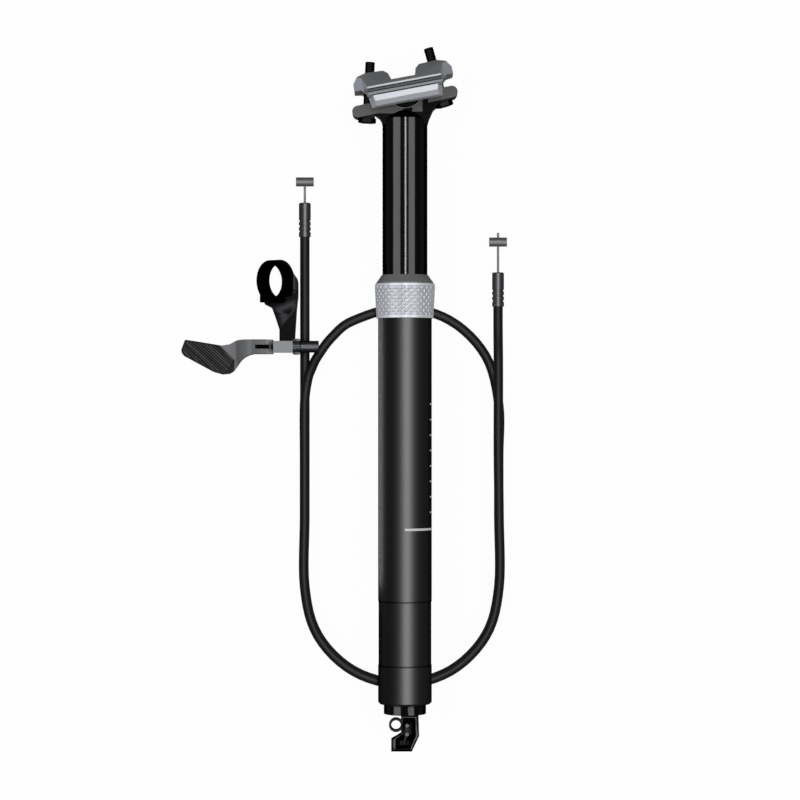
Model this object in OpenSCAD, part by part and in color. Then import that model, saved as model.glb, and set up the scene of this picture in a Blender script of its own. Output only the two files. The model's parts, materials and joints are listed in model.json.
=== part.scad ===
// Dropper seatpost with its thumb remote and cable, laid flat as one kit.
// The post's axis is the Y axis: +Y is the saddle end, +X the rear and +Z the bike's left side.
// Y = 0 is the underside of the collar, where the frame's seat tube would stop.
// The whole kit rests on the plane z = rest_z.

/* [Outer tube] */
// Outside diameter, which is the frame's seat tube size
tube_d = 34.9; // [34.6:0.1:35.4]
// Wall thickness
tube_wall = 1.7; // [1.5:0.05:1.8]
// Length below the collar
tube_len = 250.3; // [246:0.1:270]
// Length of the threaded neck inside the collar
tube_neck_len = 18; // [16.5:0.5:18.5]
// Step in radius from the tube to its threaded neck
tube_neck_step = 0.55; // [0.4:0.05:0.7]
// Depth of the turned band near the bottom
band_depth = 0.3; // [0.1:0.05:0.5]
// Distance from the collar to the turned band
band_top = 183.6; // [170:0.1:190]
// Length of the turned band
band_len = 41.6; // [30:0.1:50]
// Chamfer of the bottom edge
tube_chamfer = 1.2; // [0.6:0.1:1.4]

/* [Collar and seals] */
// Height of the collar
collar_h = 22.6; // [22.5:0.1:25]
// Radius of the knurled band at its top
knurl_top_r = 19.4; // [19.2:0.1:20.5]
// Radius of the knurled band at its bottom
knurl_bottom_r = 18.6; // [18.5:0.1:19.5]
// Height of the smooth rim under the knurl
rim_low_h = 2; // [1:0.1:3]
// Height of the smooth rim above the knurl
rim_high_h = 1.8; // [1:0.1:3]
// How far the wiper's cone stands above the collar
wiper_lip = 5.6; // [4:0.1:6]
// Length of the upper bush
upper_bush_len = 30; // [20:0.5:40]
// Length of the lower bush
lower_bush_len = 22; // [14:0.5:24]

/* [Stanchion] */
// Outside diameter of the stanchion
stanchion_d = 29.2; // [28.8:0.1:29.6]
// Wall thickness
stanchion_wall = 2; // [1.6:0.05:2.2]
// Length that shows between the wiper and the head
exposed_len = 97.3; // [96.5:0.1:110]
// Length inside the outer tube when the post is up
overlap_len = 74; // [70:0.5:80]
// How far the saddle drops
travel = 95; // [80:0.5:96]
// Radius of an anti-rotation key
key_r = 1.2; // [1:0.05:1.3]
// Length of an anti-rotation key
key_len = 14; // [10:0.5:16]

/* [Cartridge] */
// Outside radius of the cartridge tube
cartridge_r = 10; // [9.6:0.1:10.6]
// Wall of the cartridge tube
cartridge_wall = 1.5; // [1.2:0.1:1.8]
// Radius of the hollow piston rod
rod_r = 4; // [3.6:0.1:4.4]
// Radius of the release pin inside the rod
pin_r = 1.65; // [1.4:0.05:1.9]
// Length of the piston
piston_len = 10; // [8:0.5:12]
// Length of the floating piston
floating_len = 10; // [8:0.5:12]
// Length of the gland that seals the rod
gland_len = 12; // [10:0.5:14]

/* [Head and rail clamp] */
// Height of the head's arms above the stanchion's top
head_rise = 14.55; // [14:0.05:18]
// Tilt of the arms, rear end up
head_tilt = 12; // [8:0.5:14]
// Tilt of the rail clamp against the arms, rear end down
clamp_lean = 1.5; // [0:0.5:2]
// Distance between the round ends of the arms
arm_span = 62; // [60:0.5:66]
// Thickness of the arms
arm_t = 7.6; // [7.2:0.1:8.2]
// Width of the arms across the bike
arm_w = 18; // [17:0.5:20]
// Diameter of a saddle rail
rail_d = 7; // [6.8:0.1:7.4]
// Distance between the two rails
rail_gauge = 44; // [42:0.5:46]
// Radius of the cradle's round keel
keel_r = 12.4; // [11.8:0.1:12.6]
// Width of the rail clamp across the bike
clamp_w = 61.2; // [59:0.2:61.2]
// Length of the upper clamp between its tips
clamp_len = 65; // [63:0.5:68]
// Length of the upper clamp along its side walls
clamp_side_len = 48; // [45:0.5:52]
// Height of the upper clamp's side walls
clamp_side_h = 5.4; // [4.8:0.1:6]
// Height of the clamp's two lobes above its underside
clamp_lobe_h = 16.6; // [16:0.1:18]
// Height of the clamp's middle above its underside
clamp_waist_h = 7.9; // [7:0.1:9]
// Radius of the clamp bolts
bolt_r = 3; // [2.8:0.1:3.1]
// Lean of the front bolt to the head, top to the rear
front_lean = 15; // [14:0.5:16]
// Lean of the rear bolt to the head, top to the front
rear_lean = 4; // [3:0.5:5]

/* [Cable actuator] */
// Radius of the end cap
cap_r = 13.7; // [13:0.1:14.4]
// Height of the end cap below the tube
cap_h = 6.5; // [6:0.1:8]
// Distance of the actuator's pivot below the end cap
pivot_drop = 7.2; // [7:0.1:8]
// Outside radius of the ring that takes the cable's barrel
socket_ring_r = 4.55; // [4.3:0.05:4.8]
// Bore radius of that ring
socket_bore_r = 3.1; // [2.9:0.05:3.2]
// Distance from the actuator's pivot to that ring
socket_arm = 7.2; // [7:0.1:7.8]
// Thickness of the actuator arm
arm_plate_t = 6; // [4:0.1:6.4]
// Thickness of the bracket's side plates
bracket_plate_t = 2.2; // [1.8:0.1:3]
// Radius of the socket for the cable housing
stop_bore_r = 2.6; // [2.2:0.05:2.8]

/* [Remote] */
// Distance of the remote's lever pivot from the post's axis
remote_x = 79.8; // [79.8:0.2:84]
// Length of the lever from its pivot to its tip
blade_reach = 67.9; // [66:0.1:72]
// Height of the bracket's leg from the pivot housing to the pinch bolt
leg_h = 38.5; // [38:0.1:40]
// Width of the bracket's leg at its widest
leg_w = 18.2; // [18:0.1:19]
// Bore radius of the handlebar clamp
bar_r = 11.1; // [10.9:0.05:11.3]
// Wall of the clamp ring
ring_wall = 2.75; // [2.4:0.05:3.2]
// Width of the clamp ring along the bar
ring_w = 9; // [8:0.5:10]
// Angle between the handlebar and the upright
ring_turn = 51; // [46:0.5:56]
// Thickness of the bracket's leg
leg_t = 7; // [6.8:0.1:7.4]
// Radius of the pinch bolt
pinch_r = 1.5; // [1.3:0.1:1.6]
// Radius of the lever's pivot pin
lever_pin_r = 1.95; // [1.7:0.05:2.2]
// Width of the lever's neck
neck_w = 9.6; // [9:0.1:10]
// Thickness of the blade under the thumb pad
blade_t = 2.4; // [1.8:0.1:3]
// Thickness of the thumb pad under its ribs
pad_t = 0.9; // [0.6:0.1:1.2]
// Height of the pad's ribs
rib_h = 0.6; // [0.4:0.1:1]
// Radius of the barrel adjuster
adjuster_r = 3.9; // [3.7:0.05:4.3]
// Radius of the adjuster's lock ring
lock_ring_r = 4.7; // [4.4:0.1:5.6]

/* [Cable] */
// Diameter of the cable housing
cable_d = 6.3; // [5.6:0.1:6.3]
// Radius of the ferrules
ferrule_r = 3.9; // [3.6:0.1:3.9]
// Length of the ferrules
ferrule_len = 22.4; // [21:0.1:24]
// Radius of the inner wire
wire_r = 0.8; // [0.6:0.05:0.9]
// Radius of the end barrels
barrel_r = 3; // [2.7:0.1:3]
// Length of the end barrels
barrel_len = 11.6; // [10:0.1:13]

/* [Hidden] */
$fn = 64;
hull_gap = 0.3;      // room between pieces that only pass each other
running = 0.05;      // radial room in a running fit
seat = 0.02;         // radial room in a pressed or glued seat
past = 1;            // how far a cut runs past its solid
wide = 90;           // longer than any cut across the kit

tube_r = tube_d / 2;
tube_in_r = tube_r - tube_wall;
neck_r = tube_r - tube_neck_step;
st_r = stanchion_d / 2;
st_in_r = st_r - stanchion_wall;
tube_bottom = -tube_len;
band_low = -band_top - band_len;

stack_gap = 0.35;
rest_z = -tube_r - 2 * 6.4 - stack_gap;

wiper_top = collar_h + wiper_lip;
stanchion_top = wiper_top + exposed_len;
stanchion_bottom = -overlap_len;
upper_bush_top = tube_neck_len - 2;
upper_bush_bottom = upper_bush_top - upper_bush_len;
seal_ring_gap = 0.1;

key_ring_r = (st_r + tube_in_r) / 2;
key_count = 3;
key_play = 0.08;
lower_bush_bottom = stanchion_bottom + 2;
lower_bush_top = lower_bush_bottom + lower_bush_len;
key_bottom = lower_bush_top + 4;
key_top = key_bottom + key_len;
groove_top = upper_bush_bottom - 4;

bore_r = cartridge_r - cartridge_wall;
cartridge_bottom = stanchion_bottom + 2;
cartridge_top = stanchion_top - 13.5;
cartridge_cap_len = 12;
gland_top = cartridge_bottom + gland_len;
piston_bottom = gland_top + 2;
piston_top = piston_bottom + piston_len;
rod_share = pow(rod_r / bore_r, 2);
floating_bottom = piston_top + travel * (1 - rod_share) + 6;
foot_ring_len = 8;
band_w = 4;
groove_deep = 0.8;

cap_bottom = tube_bottom - cap_h;
cap_plug_len = 12;
cap_plug_top = tube_bottom + cap_plug_len;
button_r = 5.6;
button_t = 2.7;
recess_r = button_r + 0.6;
recess_top = cap_bottom + 4.8;
button_bottom = cap_bottom + 0.3;
rod_top = piston_top - 2;
rod_nut_h = 5;

head_y = stanchion_top + head_rise;
plug_len = 12.5;
arm_half = arm_t / 2;
arm_waist = -1.2;
waist_half = 19.5;
clamp_u = 1.6;
clamp_v = 8;
trough_r = keel_r + 0.1;
keel_w = 20;
rail_v = -2.4;
rail_r = rail_d / 2;
clamp_half_w = clamp_w / 2;
cradle_top = rail_v - hull_gap;
clamp_bottom = rail_v + hull_gap;
cradle_plate_t = 2.5;
cradle_plate_len = 31;
wing_in = 16;
wing_bottom = -9.5;
wing_half = 20.5;
front_u = -arm_span / 2 + 5.2;
rear_u = arm_span / 2 - 6.3;
bolt_len = 35.6;
bolt_head_h = 3;
bolt_head_r = 5.9;
washer_r = 5;
washer_drop = 1;
nut_r = 5;
nut_s = 20;
nut_len = 16;
nut_bore = bolt_r + 1;
slot_in_arm = 2 * bolt_r + 1.6;
slot_in_clamp = 2 * bolt_r + 2.8;
slot_across = 2 * bolt_r + 0.8;

pivot_x = 1.4;
pivot_y = cap_bottom - pivot_drop;
socket_x = pivot_x - socket_arm;
plate_in = arm_plate_t / 2 + 0.4;
plate_out = plate_in + bracket_plate_t;
edge_h = 0.6;
bracket_r = 1.05;
pin_bore_r = 0.4;
stop_pin_y = pivot_y - 5.8;
stop_top = pivot_y - 9.4;
stop_bottom = pivot_y - 16.8;
stop_bore_len = 5;
nose_x = 3.4;
nose_r = 1.8;
nose_y = button_bottom - 0.4 - nose_r - pivot_y;

ring_r = bar_r + ring_wall;
lever_x = -remote_x;
lever_z = -25.5;
ring_x = lever_x - 5;
ring_y = 25.1;
ring_z = rest_z + ring_r * sin(ring_turn) + ring_w / 2 * cos(ring_turn) + 0.1;
split_turn = -25;
split_w = 0.5;
lug_top = 24.2;
leg_bottom_y = lug_top - leg_h;
leg_right = lever_x + 9.5;
pinch_x = lever_x + 5.9;
pinch_z = rest_z + leg_t / 2;
pinch_head_r = 2.7;
pinch_head_h = 2.4;
line_y = -18;
line_z = -18.2;
housing_left = lever_x - 6.4;
housing_right = lever_x + 6.3;
housing_top = -13;
housing_low_y = line_y - (leg_bottom_y - line_y);
tongue_w = 3.4;
slot_w = tongue_w + 2 * hull_gap;
slot_roof = -16.5;
eye_r = 4.5;
slot_right = lever_x + eye_r + hull_gap;
stem_r = 2.45;
blade_top = rest_z + blade_t;

end_z = rest_z + ferrule_r + 0.1;
left_x = -66;
right_x = 61.5;
left_face = 54.6;
right_face = 8.7;
wire_inside = 12;
left_barrel_y = left_face + ferrule_len + 13.9;
right_barrel_y = right_face + ferrule_len + 20.1;
wire_tail = 6;
screw_r = 1.5;
low = -27.45;
high = -21.05;
route = [
    [-66, 54.5, -26.6], [-66, 36, -26.6], [-66, 0, low], [-66, -40, low], [-66, -80, low],
    [-66, -130, low], [-66, -176, low], [-57.4, -208, low], [-34, -231.4, low], [-2, -240, low],
    [30, -231.4, low], [53.4, -208, low], [62, -176, low], [62, -130, low], [62, -90, low],
    [62, -56, low], [53.4, -24, low], [30, -0.6, low], [-2, 8, low], [-34, -0.6, low],
    [-48, -11.4, low], [-57.4, -24, -25.6], [-61.3, -32, -23.1], [-64, -40, -21.3], [-66, -56, high],
    [-66, -90, high], [-66, -130, high], [-66, -176, high],
    [-57.4, -208, high], [-34, -231.4, high], [-2, -240, high], [30, -231.4, high], [53.4, -208, high],
    [62, -176, high], [62, -130, high], [61.5, -90, high], [61.5, -56, high], [61.5, -28, -21.2],
    [61.5, -8, -26.2], [61.5, 8.6, -26.6]
];
rings_per_point = 2;
cable_sides = 10;

// Frames and turned shapes

// Turns a shape made along Z so that it lies along the post's axis
module along_post() rotate([-90, 0, 0]) children();

module post_rod(r, from, to) along_post() translate([0, 0, from]) cylinder(r = r, h = to - from);

module post_ring(outer, inner, from, to) {
    difference() {
        post_rod(outer, from, to);
        post_rod(inner, from - past, to + past);
    }
}

// A turned shape from its [radius, y] outline
module post_turned(outline) along_post() rotate_extrude() polygon(outline);

module head_frame() translate([0, head_y, 0]) rotate([0, 0, head_tilt]) children();

// The rail clamp's frame: its origin is the centre of the round keel, on which the clamp tilts
module clamp_frame() head_frame() translate([clamp_u, clamp_v, 0]) rotate([0, 0, -clamp_lean]) children();

// The frame of a clamp bolt: its axis is Y and its swing axis passes through the origin
module bolt_frame(u, lean) head_frame() translate([u, -arm_half, 0]) rotate([0, 0, lean]) children();

module both_bolts() {
    bolt_frame(front_u, -front_lean) children();
    bolt_frame(rear_u, rear_lean) children();
}

module rails(r, from, to) {
    for (side = [-1, 1])
        translate([from, rail_v, side * rail_gauge / 2])
            rotate([0, 90, 0]) cylinder(r = r, h = to - from);
}

module key_places(r, from, to) {
    for (k = [0:key_count - 1])
        along_post() rotate([0, 0, 90 + k * 360 / key_count])
            translate([key_ring_r, 0, from]) cylinder(r = r, h = to - from);
}

// Outer tube with what it carries

module outer_tube() {
    color("#1b1b1c") difference() {
        post_turned([
            [tube_in_r, tube_bottom], [tube_r - tube_chamfer, tube_bottom],
            [tube_r, tube_bottom + tube_chamfer], [tube_r, band_low],
            [tube_r - band_depth, band_low], [tube_r - band_depth, -band_top],
            [tube_r, -band_top], [tube_r, 0], [neck_r, 0], [neck_r, tube_neck_len],
            [tube_in_r, tube_neck_len]
        ]);
        key_places(key_r + key_play, cap_plug_top, groove_top);
    }
}

module collar() {
    knurl_low = rim_low_h;
    knurl_high = collar_h - rim_high_h;
    knurl_deep = 0.35;
    edge = 0.3;
    bore = neck_r + running;
    color("#b4b9bf") post_turned([
        [bore, 0], [knurl_bottom_r - edge, 0], [knurl_bottom_r, edge],
        [knurl_bottom_r, knurl_low], [knurl_bottom_r - knurl_deep, knurl_low],
        [knurl_top_r - knurl_deep, knurl_high], [knurl_top_r, knurl_high],
        [knurl_top_r, collar_h - edge], [knurl_top_r - edge, collar_h], [bore, collar_h]
    ]);
}

module wiper_seal() {
    inner = st_r + running;
    flange_low = collar_h + 0.1;
    flange_r = knurl_top_r - 0.7;
    color("#111111") post_turned([
        [inner, tube_neck_len + 0.6], [neck_r - running, tube_neck_len + 0.6],
        [neck_r - running, flange_low], [flange_r, flange_low], [flange_r, flange_low + 0.3],
        [st_r + 0.4, wiper_top], [inner, wiper_top]
    ]);
}

module seal_ring() {
    color("#202020")
        post_ring(tube_in_r - seat, st_r + running, upper_bush_top + seal_ring_gap, tube_neck_len);
}

module upper_bush() {
    color("#c9c2a8") post_ring(tube_in_r - seat, st_r + running, upper_bush_bottom, upper_bush_top);
}

module bottom_cap() {
    step_h = 0.7;
    color("#161616") difference() {
        union() {
            post_rod(tube_in_r - seat, tube_bottom, cap_plug_top);
            post_rod(cap_r + 0.6, tube_bottom - step_h, tube_bottom);
            post_rod(cap_r, cap_bottom, tube_bottom - step_h);
        }
        post_rod(recess_r, cap_bottom - past, recess_top);
        post_rod(rod_r + seat, cap_bottom, cap_plug_top + past);
    }
}

module rod_nut() {
    color("#8d8f92") difference() {
        along_post() translate([0, 0, cap_plug_top]) cylinder(r = rod_r + 3.6, h = rod_nut_h, $fn = 6);
        post_rod(rod_r + seat, cap_plug_top - past, cap_plug_top + rod_nut_h + past);
    }
}

module piston_rod() {
    color("#c4c6c8") post_ring(rod_r, pin_r + running, recess_top, rod_top);
}

module piston() {
    band_bottom = piston_bottom + 3;
    color("#a9adb0") difference() {
        post_rod(bore_r - 0.2, piston_bottom, piston_top);
        post_rod(rod_r + seat, piston_bottom - past, rod_top);
        post_rod(pin_r + running, rod_top - past, piston_top + past);
        post_ring(bore_r + past, bore_r - groove_deep - seat, band_bottom, band_bottom + band_w);
    }
}

module piston_band() {
    band_bottom = piston_bottom + 3;
    color("#2b2b2b")
        post_ring(bore_r - running, bore_r - groove_deep, band_bottom + seat, band_bottom + band_w - seat);
}

// Cable actuator under the end cap

bracket_outline = [
    [pivot_x - 4, cap_bottom], [pivot_x + 7.4, cap_bottom], [pivot_x + 7.8, pivot_y - 6.7],
    [pivot_x + 3.1, stop_bottom], [socket_x - 3.1, stop_bottom], [socket_x - 3.1, stop_top],
    [pivot_x - 6.8, pivot_y - 7.4], [pivot_x - 4, pivot_y - 5.6]
];

module bracket_plate(from, to) {
    translate([0, 0, from]) linear_extrude(to - from) polygon(bracket_outline);
}

// The raised ridge that follows the outline of a side plate
module bracket_edge(from, to) {
    middle = [pivot_x, pivot_y - 4.6];
    translate([0, 0, from]) linear_extrude(to - from) difference() {
        translate(middle) scale([0.9, 0.94]) translate(-middle) polygon(bracket_outline);
        translate(middle) scale([0.74, 0.83]) translate(-middle) polygon(bracket_outline);
    }
}

module actuator_pin_places(r, half_len) {
    for (y = [pivot_y, stop_pin_y])
        translate([pivot_x, y, -half_len]) cylinder(r = r, h = 2 * half_len);
}

module cable_stop_bracket() {
    color("#1a1a1a") difference() {
        union() {
            bracket_plate(plate_in, plate_out);
            bracket_plate(-plate_out, -plate_in);
            bracket_edge(plate_out - seat, plate_out + edge_h);
            bracket_edge(-plate_out - edge_h, -plate_out + seat);
            intersection() {
                bracket_plate(-plate_in - seat, plate_in + seat);
                translate([-wide / 2, stop_bottom - past, -plate_out])
                    cube([wide, stop_top - stop_bottom + past, 2 * plate_out]);
            }
        }
        actuator_pin_places(bracket_r, plate_out + past);
        translate([socket_x, stop_bottom + stop_bore_len, 0]) rotate([90, 0, 0])
            cylinder(r = stop_bore_r, h = stop_bore_len + past);
        translate([socket_x, stop_top + past, 0]) rotate([90, 0, 0])
            cylinder(r = wire_r + 0.4, h = stop_top - stop_bottom + past);
    }
}

module actuator_pins() {
    color("#c8cacc") difference() {
        actuator_pin_places(bracket_r, plate_out + 0.2);
        actuator_pin_places(pin_bore_r, plate_out + past);
    }
}

module actuator_arm() {
    half = arm_plate_t / 2;
    hub_r = bracket_r + 1.7;
    bar_half = 1.9;
    web_half = 1.6;
    nose_far = sqrt(nose_x * nose_x + nose_y * nose_y);
    color("#222324") difference() {
        translate([pivot_x, pivot_y, -half]) union() {
            translate([-socket_arm, 0, 0]) cylinder(r = socket_ring_r, h = arm_plate_t);
            translate([-socket_arm + socket_bore_r + 0.3, -bar_half, 0])
                cube([socket_arm - socket_bore_r - 0.3, 2 * bar_half, arm_plate_t]);
            cylinder(r = hub_r, h = arm_plate_t);
            rotate([0, 0, atan2(nose_y, nose_x)]) translate([0, -web_half, 0])
                cube([nose_far, 2 * web_half, arm_plate_t]);
            translate([nose_x, nose_y, 0]) cylinder(r = nose_r, h = arm_plate_t);
        }
        translate([socket_x, pivot_y, -half - past])
            cylinder(r = socket_bore_r, h = arm_plate_t + 2 * past);
        translate([pivot_x, pivot_y, -half - past])
            cylinder(r = bracket_r + running, h = arm_plate_t + 2 * past);
    }
}

module release_pin() {
    color("#bfc2c4") post_rod(pin_r, button_bottom + button_t, piston_top + 3);
}

module release_button() {
    color("#d0b060") post_rod(button_r, button_bottom, button_bottom + button_t);
}

// Stanchion with what moves with it

module stanchion_tube() {
    color("#0e0e0f") difference() {
        post_ring(st_r, st_in_r, stanchion_bottom, stanchion_top);
        key_places(key_r + seat, key_bottom - seat, key_top + seat);
    }
}

module bolt_slots(width, from, to) {
    both_bolts() translate([-width / 2, from, -slot_across / 2]) cube([width, to - from, slot_across]);
}

module seat_head() {
    bolt_head_room = 5.6;
    neck_straight = 4;
    neck_end = 9.6;
    web_outline = [for (p = [
        [-st_r, 0], [-st_r - 0.6, 2.6], [-st_r - 1.9, 4.6], [-st_r - 4.2, 6.1], [-st_r - 4.2, head_rise - 5],
        [st_r + 9.4, head_rise + 2], [st_r + 7.6, 13.4], [st_r + 3.7, 9.8], [st_r + 1.1, 3.9], [st_r, 0]
    ]) [p[0], stanchion_top + p[1]]];
    color("#141415") difference() {
        union() {
            post_rod(st_in_r - seat, stanchion_top - plug_len, stanchion_top + past);
            post_turned([
                [0, stanchion_top], [st_r, stanchion_top], [st_r, stanchion_top + neck_straight],
                [arm_w / 2 - 1, stanchion_top + neck_end], [0, stanchion_top + neck_end]
            ]);
            linear_extrude(arm_w - 1, center = true) polygon(web_outline);
            head_frame() translate([-arm_span / 2, -arm_half, -arm_w / 2]) cube([arm_span, arm_t, arm_w]);
            for (side = [-1, 1])
                head_frame() translate([side * arm_span / 2, 0, -arm_w / 2]) cylinder(r = arm_half, h = arm_w);
        }
        head_frame() translate([clamp_u, clamp_v, 0])
            cylinder(r = trough_r, h = keel_w + 2 * hull_gap, center = true);
        head_frame() translate([-waist_half, arm_waist, -wide / 2]) cube([2 * waist_half, wide, wide]);
        bolt_slots(slot_in_arm, -past, 2 * arm_t);
        both_bolts() cylinder(r = washer_r + 0.1, h = arm_w - 3.4, center = true);
        both_bolts() rotate([90, 0, 0]) translate([0, 0, washer_drop - hull_gap])
            cylinder(r = bolt_head_r + 0.5, h = arm_t);
        post_rod(bolt_r + 0.2, stanchion_top - plug_len - past, head_y);
        post_rod(bolt_head_room, stanchion_top + 5.5, head_y);
    }
}

module lower_bush() {
    color("#c9c2a8") post_ring(tube_in_r - running, st_r + seat, lower_bush_bottom, lower_bush_top);
}

module anti_rotation_keys() {
    color("#b89a4a") key_places(key_r, key_bottom, key_top);
}

module cartridge_tube() {
    color("#9ea2a6") post_ring(cartridge_r, bore_r, cartridge_bottom, cartridge_top);
}

module cartridge_gland() {
    color("#77797c") post_ring(bore_r - seat, rod_r + running, cartridge_bottom, gland_top);
}

module cartridge_cap() {
    cap_from = cartridge_top - cartridge_cap_len;
    color("#77797c") difference() {
        post_rod(bore_r - seat, cap_from, cartridge_top);
        post_rod(bolt_r + seat, cap_from + 4, cartridge_top + past);
    }
}

module cartridge_bolt() {
    head_low = stanchion_top + 5.5;
    socket_r = 2.9;
    color("#2a2a2b") difference() {
        union() {
            post_rod(bolt_r, cartridge_top - 7, head_low);
            post_rod(bolt_r + 2.2, head_low, head_low + 3.6);
        }
        along_post() translate([0, 0, head_low + 1]) cylinder(r = socket_r, h = 4, $fn = 6);
    }
}

module foot_ring() {
    color("#3a3b3d")
        post_ring(st_in_r - seat, cartridge_r + seat, stanchion_bottom, stanchion_bottom + foot_ring_len);
}

module floating_piston() {
    band_bottom = floating_bottom + 3;
    color("#a9adb0") difference() {
        post_rod(bore_r - 0.2, floating_bottom, floating_bottom + floating_len);
        post_ring(bore_r + past, bore_r - groove_deep - seat, band_bottom, band_bottom + band_w);
    }
}

module floating_seal() {
    band_bottom = floating_bottom + 3;
    color("#2b2b2b")
        post_ring(bore_r - running, bore_r - groove_deep, band_bottom + seat, band_bottom + band_w - seat);
}

// Rail clamp

// One wing of the cradle, with ends that lean inwards to its outer face and to its bottom
module cradle_wing() {
    wing_len = 2 * wing_half + 14;
    end_turn = 12;
    end_lean = -10;
    chamfer = 3;
    difference() {
        rotate([0, -90, 0]) linear_extrude(wing_len, center = true) polygon([
            [wing_in, cradle_top], [clamp_half_w, cradle_top], [clamp_half_w, wing_bottom + chamfer],
            [clamp_half_w - chamfer, wing_bottom], [wing_in, wing_bottom]
        ]);
        for (end = [0, 1])
            mirror([end, 0, 0]) translate([wing_half, (cradle_top + wing_bottom) / 2, clamp_half_w])
                rotate([0, -end_turn, 0]) rotate([0, 0, end_lean])
                    translate([0, -wide / 2, -wide / 2]) cube([wide, wide, wide]);
    }
}

module lower_cradle() {
    plate_bottom = cradle_top - cradle_plate_t;
    color("#d3d5d8") clamp_frame() difference() {
        union() {
            difference() {
                cylinder(r = keel_r, h = keel_w, center = true);
                translate([-wide / 2, cradle_top, -wide / 2]) cube([wide, wide, wide]);
            }
            translate([-cradle_plate_len / 2, plate_bottom, -clamp_half_w + 2])
                cube([cradle_plate_len, cradle_plate_t, clamp_w - 4]);
            for (side = [0, 1])
                mirror([0, 0, side]) cradle_wing();
        }
        rails(rail_r, -wide, wide);
    }
}

// Side view of the upper clamp, mirrored about its middle
function clamp_half_profile() = [
    [clamp_side_len / 2, clamp_bottom], [clamp_side_len / 2 + 1.5, clamp_bottom + 3.4],
    [clamp_side_len / 2 + 4, clamp_bottom + 5.6], [clamp_len / 2, clamp_bottom + 5.8],
    [clamp_len / 2 - 0.2, clamp_bottom + 10.6], [clamp_len / 2 - 3.4, clamp_bottom + clamp_lobe_h - 1.9],
    [clamp_len / 2 - 9, clamp_bottom + clamp_lobe_h], [11.8, clamp_bottom + clamp_lobe_h - 0.6],
    [9, clamp_bottom + clamp_lobe_h - 3.4], [7.8, clamp_bottom + clamp_waist_h]
];
function mirrored(points) = [for (i = [len(points) - 1:-1:0]) [-points[i][0], points[i][1]]];

module upper_clamp() {
    top = clamp_bottom + clamp_lobe_h;
    ridge_half = 10;
    ear_z = 11;
    shoulder_z = 17;
    tip_half = clamp_len / 2 + past;
    side_half = clamp_side_len / 2;
    shoulder_half = side_half + 2.5;
    wall_in = clamp_half_w - 1.4;
    skirt_z = clamp_half_w - 0.4;
    skirt_h = 1.7;
    lip_h = 1.2;
    wall_top = clamp_bottom + clamp_side_h;
    recess_half = arm_w / 2 + 1;
    recess_h = 3.2;
    groove_end = clamp_side_len / 2 - 2;
    color("#84878b") difference() {
        clamp_frame() difference() {
            intersection() {
                linear_extrude(wide, center = true)
                    polygon(concat(clamp_half_profile(), mirrored(clamp_half_profile())));
                rotate([0, 90, 0]) linear_extrude(2 * wide, center = true) polygon([
                    [-skirt_z, clamp_bottom - past], [skirt_z, clamp_bottom - past],
                    [skirt_z, clamp_bottom + skirt_h], [wall_in, clamp_bottom + skirt_h + 0.6],
                    [wall_in, wall_top - lip_h - 0.6], [clamp_half_w, wall_top - lip_h],
                    [clamp_half_w, wall_top], [ridge_half, top + 0.4], [-ridge_half, top + 0.4],
                    [-clamp_half_w, wall_top], [-clamp_half_w, wall_top - lip_h],
                    [-wall_in, wall_top - lip_h - 0.6], [-wall_in, clamp_bottom + skirt_h + 0.6],
                    [-skirt_z, clamp_bottom + skirt_h]
                ]);
                rotate([-90, 0, 0]) linear_extrude(2 * wide, center = true) polygon([
                    [-tip_half, -ear_z], [-shoulder_half, -shoulder_z], [-side_half, -clamp_half_w],
                    [side_half, -clamp_half_w], [shoulder_half, -shoulder_z], [tip_half, -ear_z],
                    [tip_half, ear_z], [shoulder_half, shoulder_z], [side_half, clamp_half_w],
                    [-side_half, clamp_half_w], [-shoulder_half, shoulder_z], [-tip_half, ear_z]
                ]);
            }
            rails(rail_r, -wide, wide);
            rails(rail_r + 2, groove_end, wide);
            rails(rail_r + 2, -wide, -groove_end);
            translate([-wide, clamp_bottom - past, -recess_half])
                cube([2 * wide, recess_h + past, 2 * recess_half]);
        }
        bolt_slots(slot_in_clamp, arm_t, wide);
        both_bolts() translate([0, nut_s, 0])
            cylinder(r = nut_r + 0.1, h = nut_len + 0.4, center = true);
        both_bolts() translate([-nut_r - 0.1, arm_t, -nut_len / 2 - 0.2])
            cube([2 * nut_r + 0.2, nut_s - arm_t, nut_len + 0.4]);
    }
}

module clamp_nuts() {
    color("#3c3d3f") both_bolts() difference() {
        translate([0, nut_s, 0]) cylinder(r = nut_r, h = nut_len, center = true);
        rotate([-90, 0, 0]) cylinder(r = nut_bore, h = wide);
    }
}

// One clamp bolt: hex head under the arm, shank through the clamp
module clamp_bolt() {
    color("#121212") rotate([-90, 0, 0]) {
        translate([0, 0, -washer_drop - bolt_head_h]) cylinder(r = bolt_head_r, h = bolt_head_h, $fn = 6);
        translate([0, 0, -washer_drop - seat]) cylinder(r = bolt_r, h = bolt_len + washer_drop + seat);
    }
}

// One half-round washer between an arm and its bolt's head
module half_washer() {
    color("#2c2d2f") difference() {
        cylinder(r = washer_r, h = arm_w - 4, center = true);
        translate([-wide / 2, -wide - washer_drop, -wide / 2]) cube([wide, wide, wide]);
        rotate([-90, 0, 0]) cylinder(r = bolt_r + seat, h = wide, center = true);
    }
}

module front_bolt() bolt_frame(front_u, -front_lean) clamp_bolt();

module front_washer() bolt_frame(front_u, -front_lean) half_washer();

module rear_bolt() bolt_frame(rear_u, rear_lean) clamp_bolt();

module rear_washer() bolt_frame(rear_u, rear_lean) half_washer();

// Thumb remote

// The clamp ring's frame: Z along the handlebar, X towards the ring's lowest side
module ring_frame() translate([ring_x, ring_y, ring_z]) rotate([0, ring_turn, 0]) children();

// A rod along X on the line of the remote's cable
module line_rod(r, from, to) translate([from, line_y, line_z]) rotate([0, 90, 0]) cylinder(r = r, h = to - from);

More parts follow.
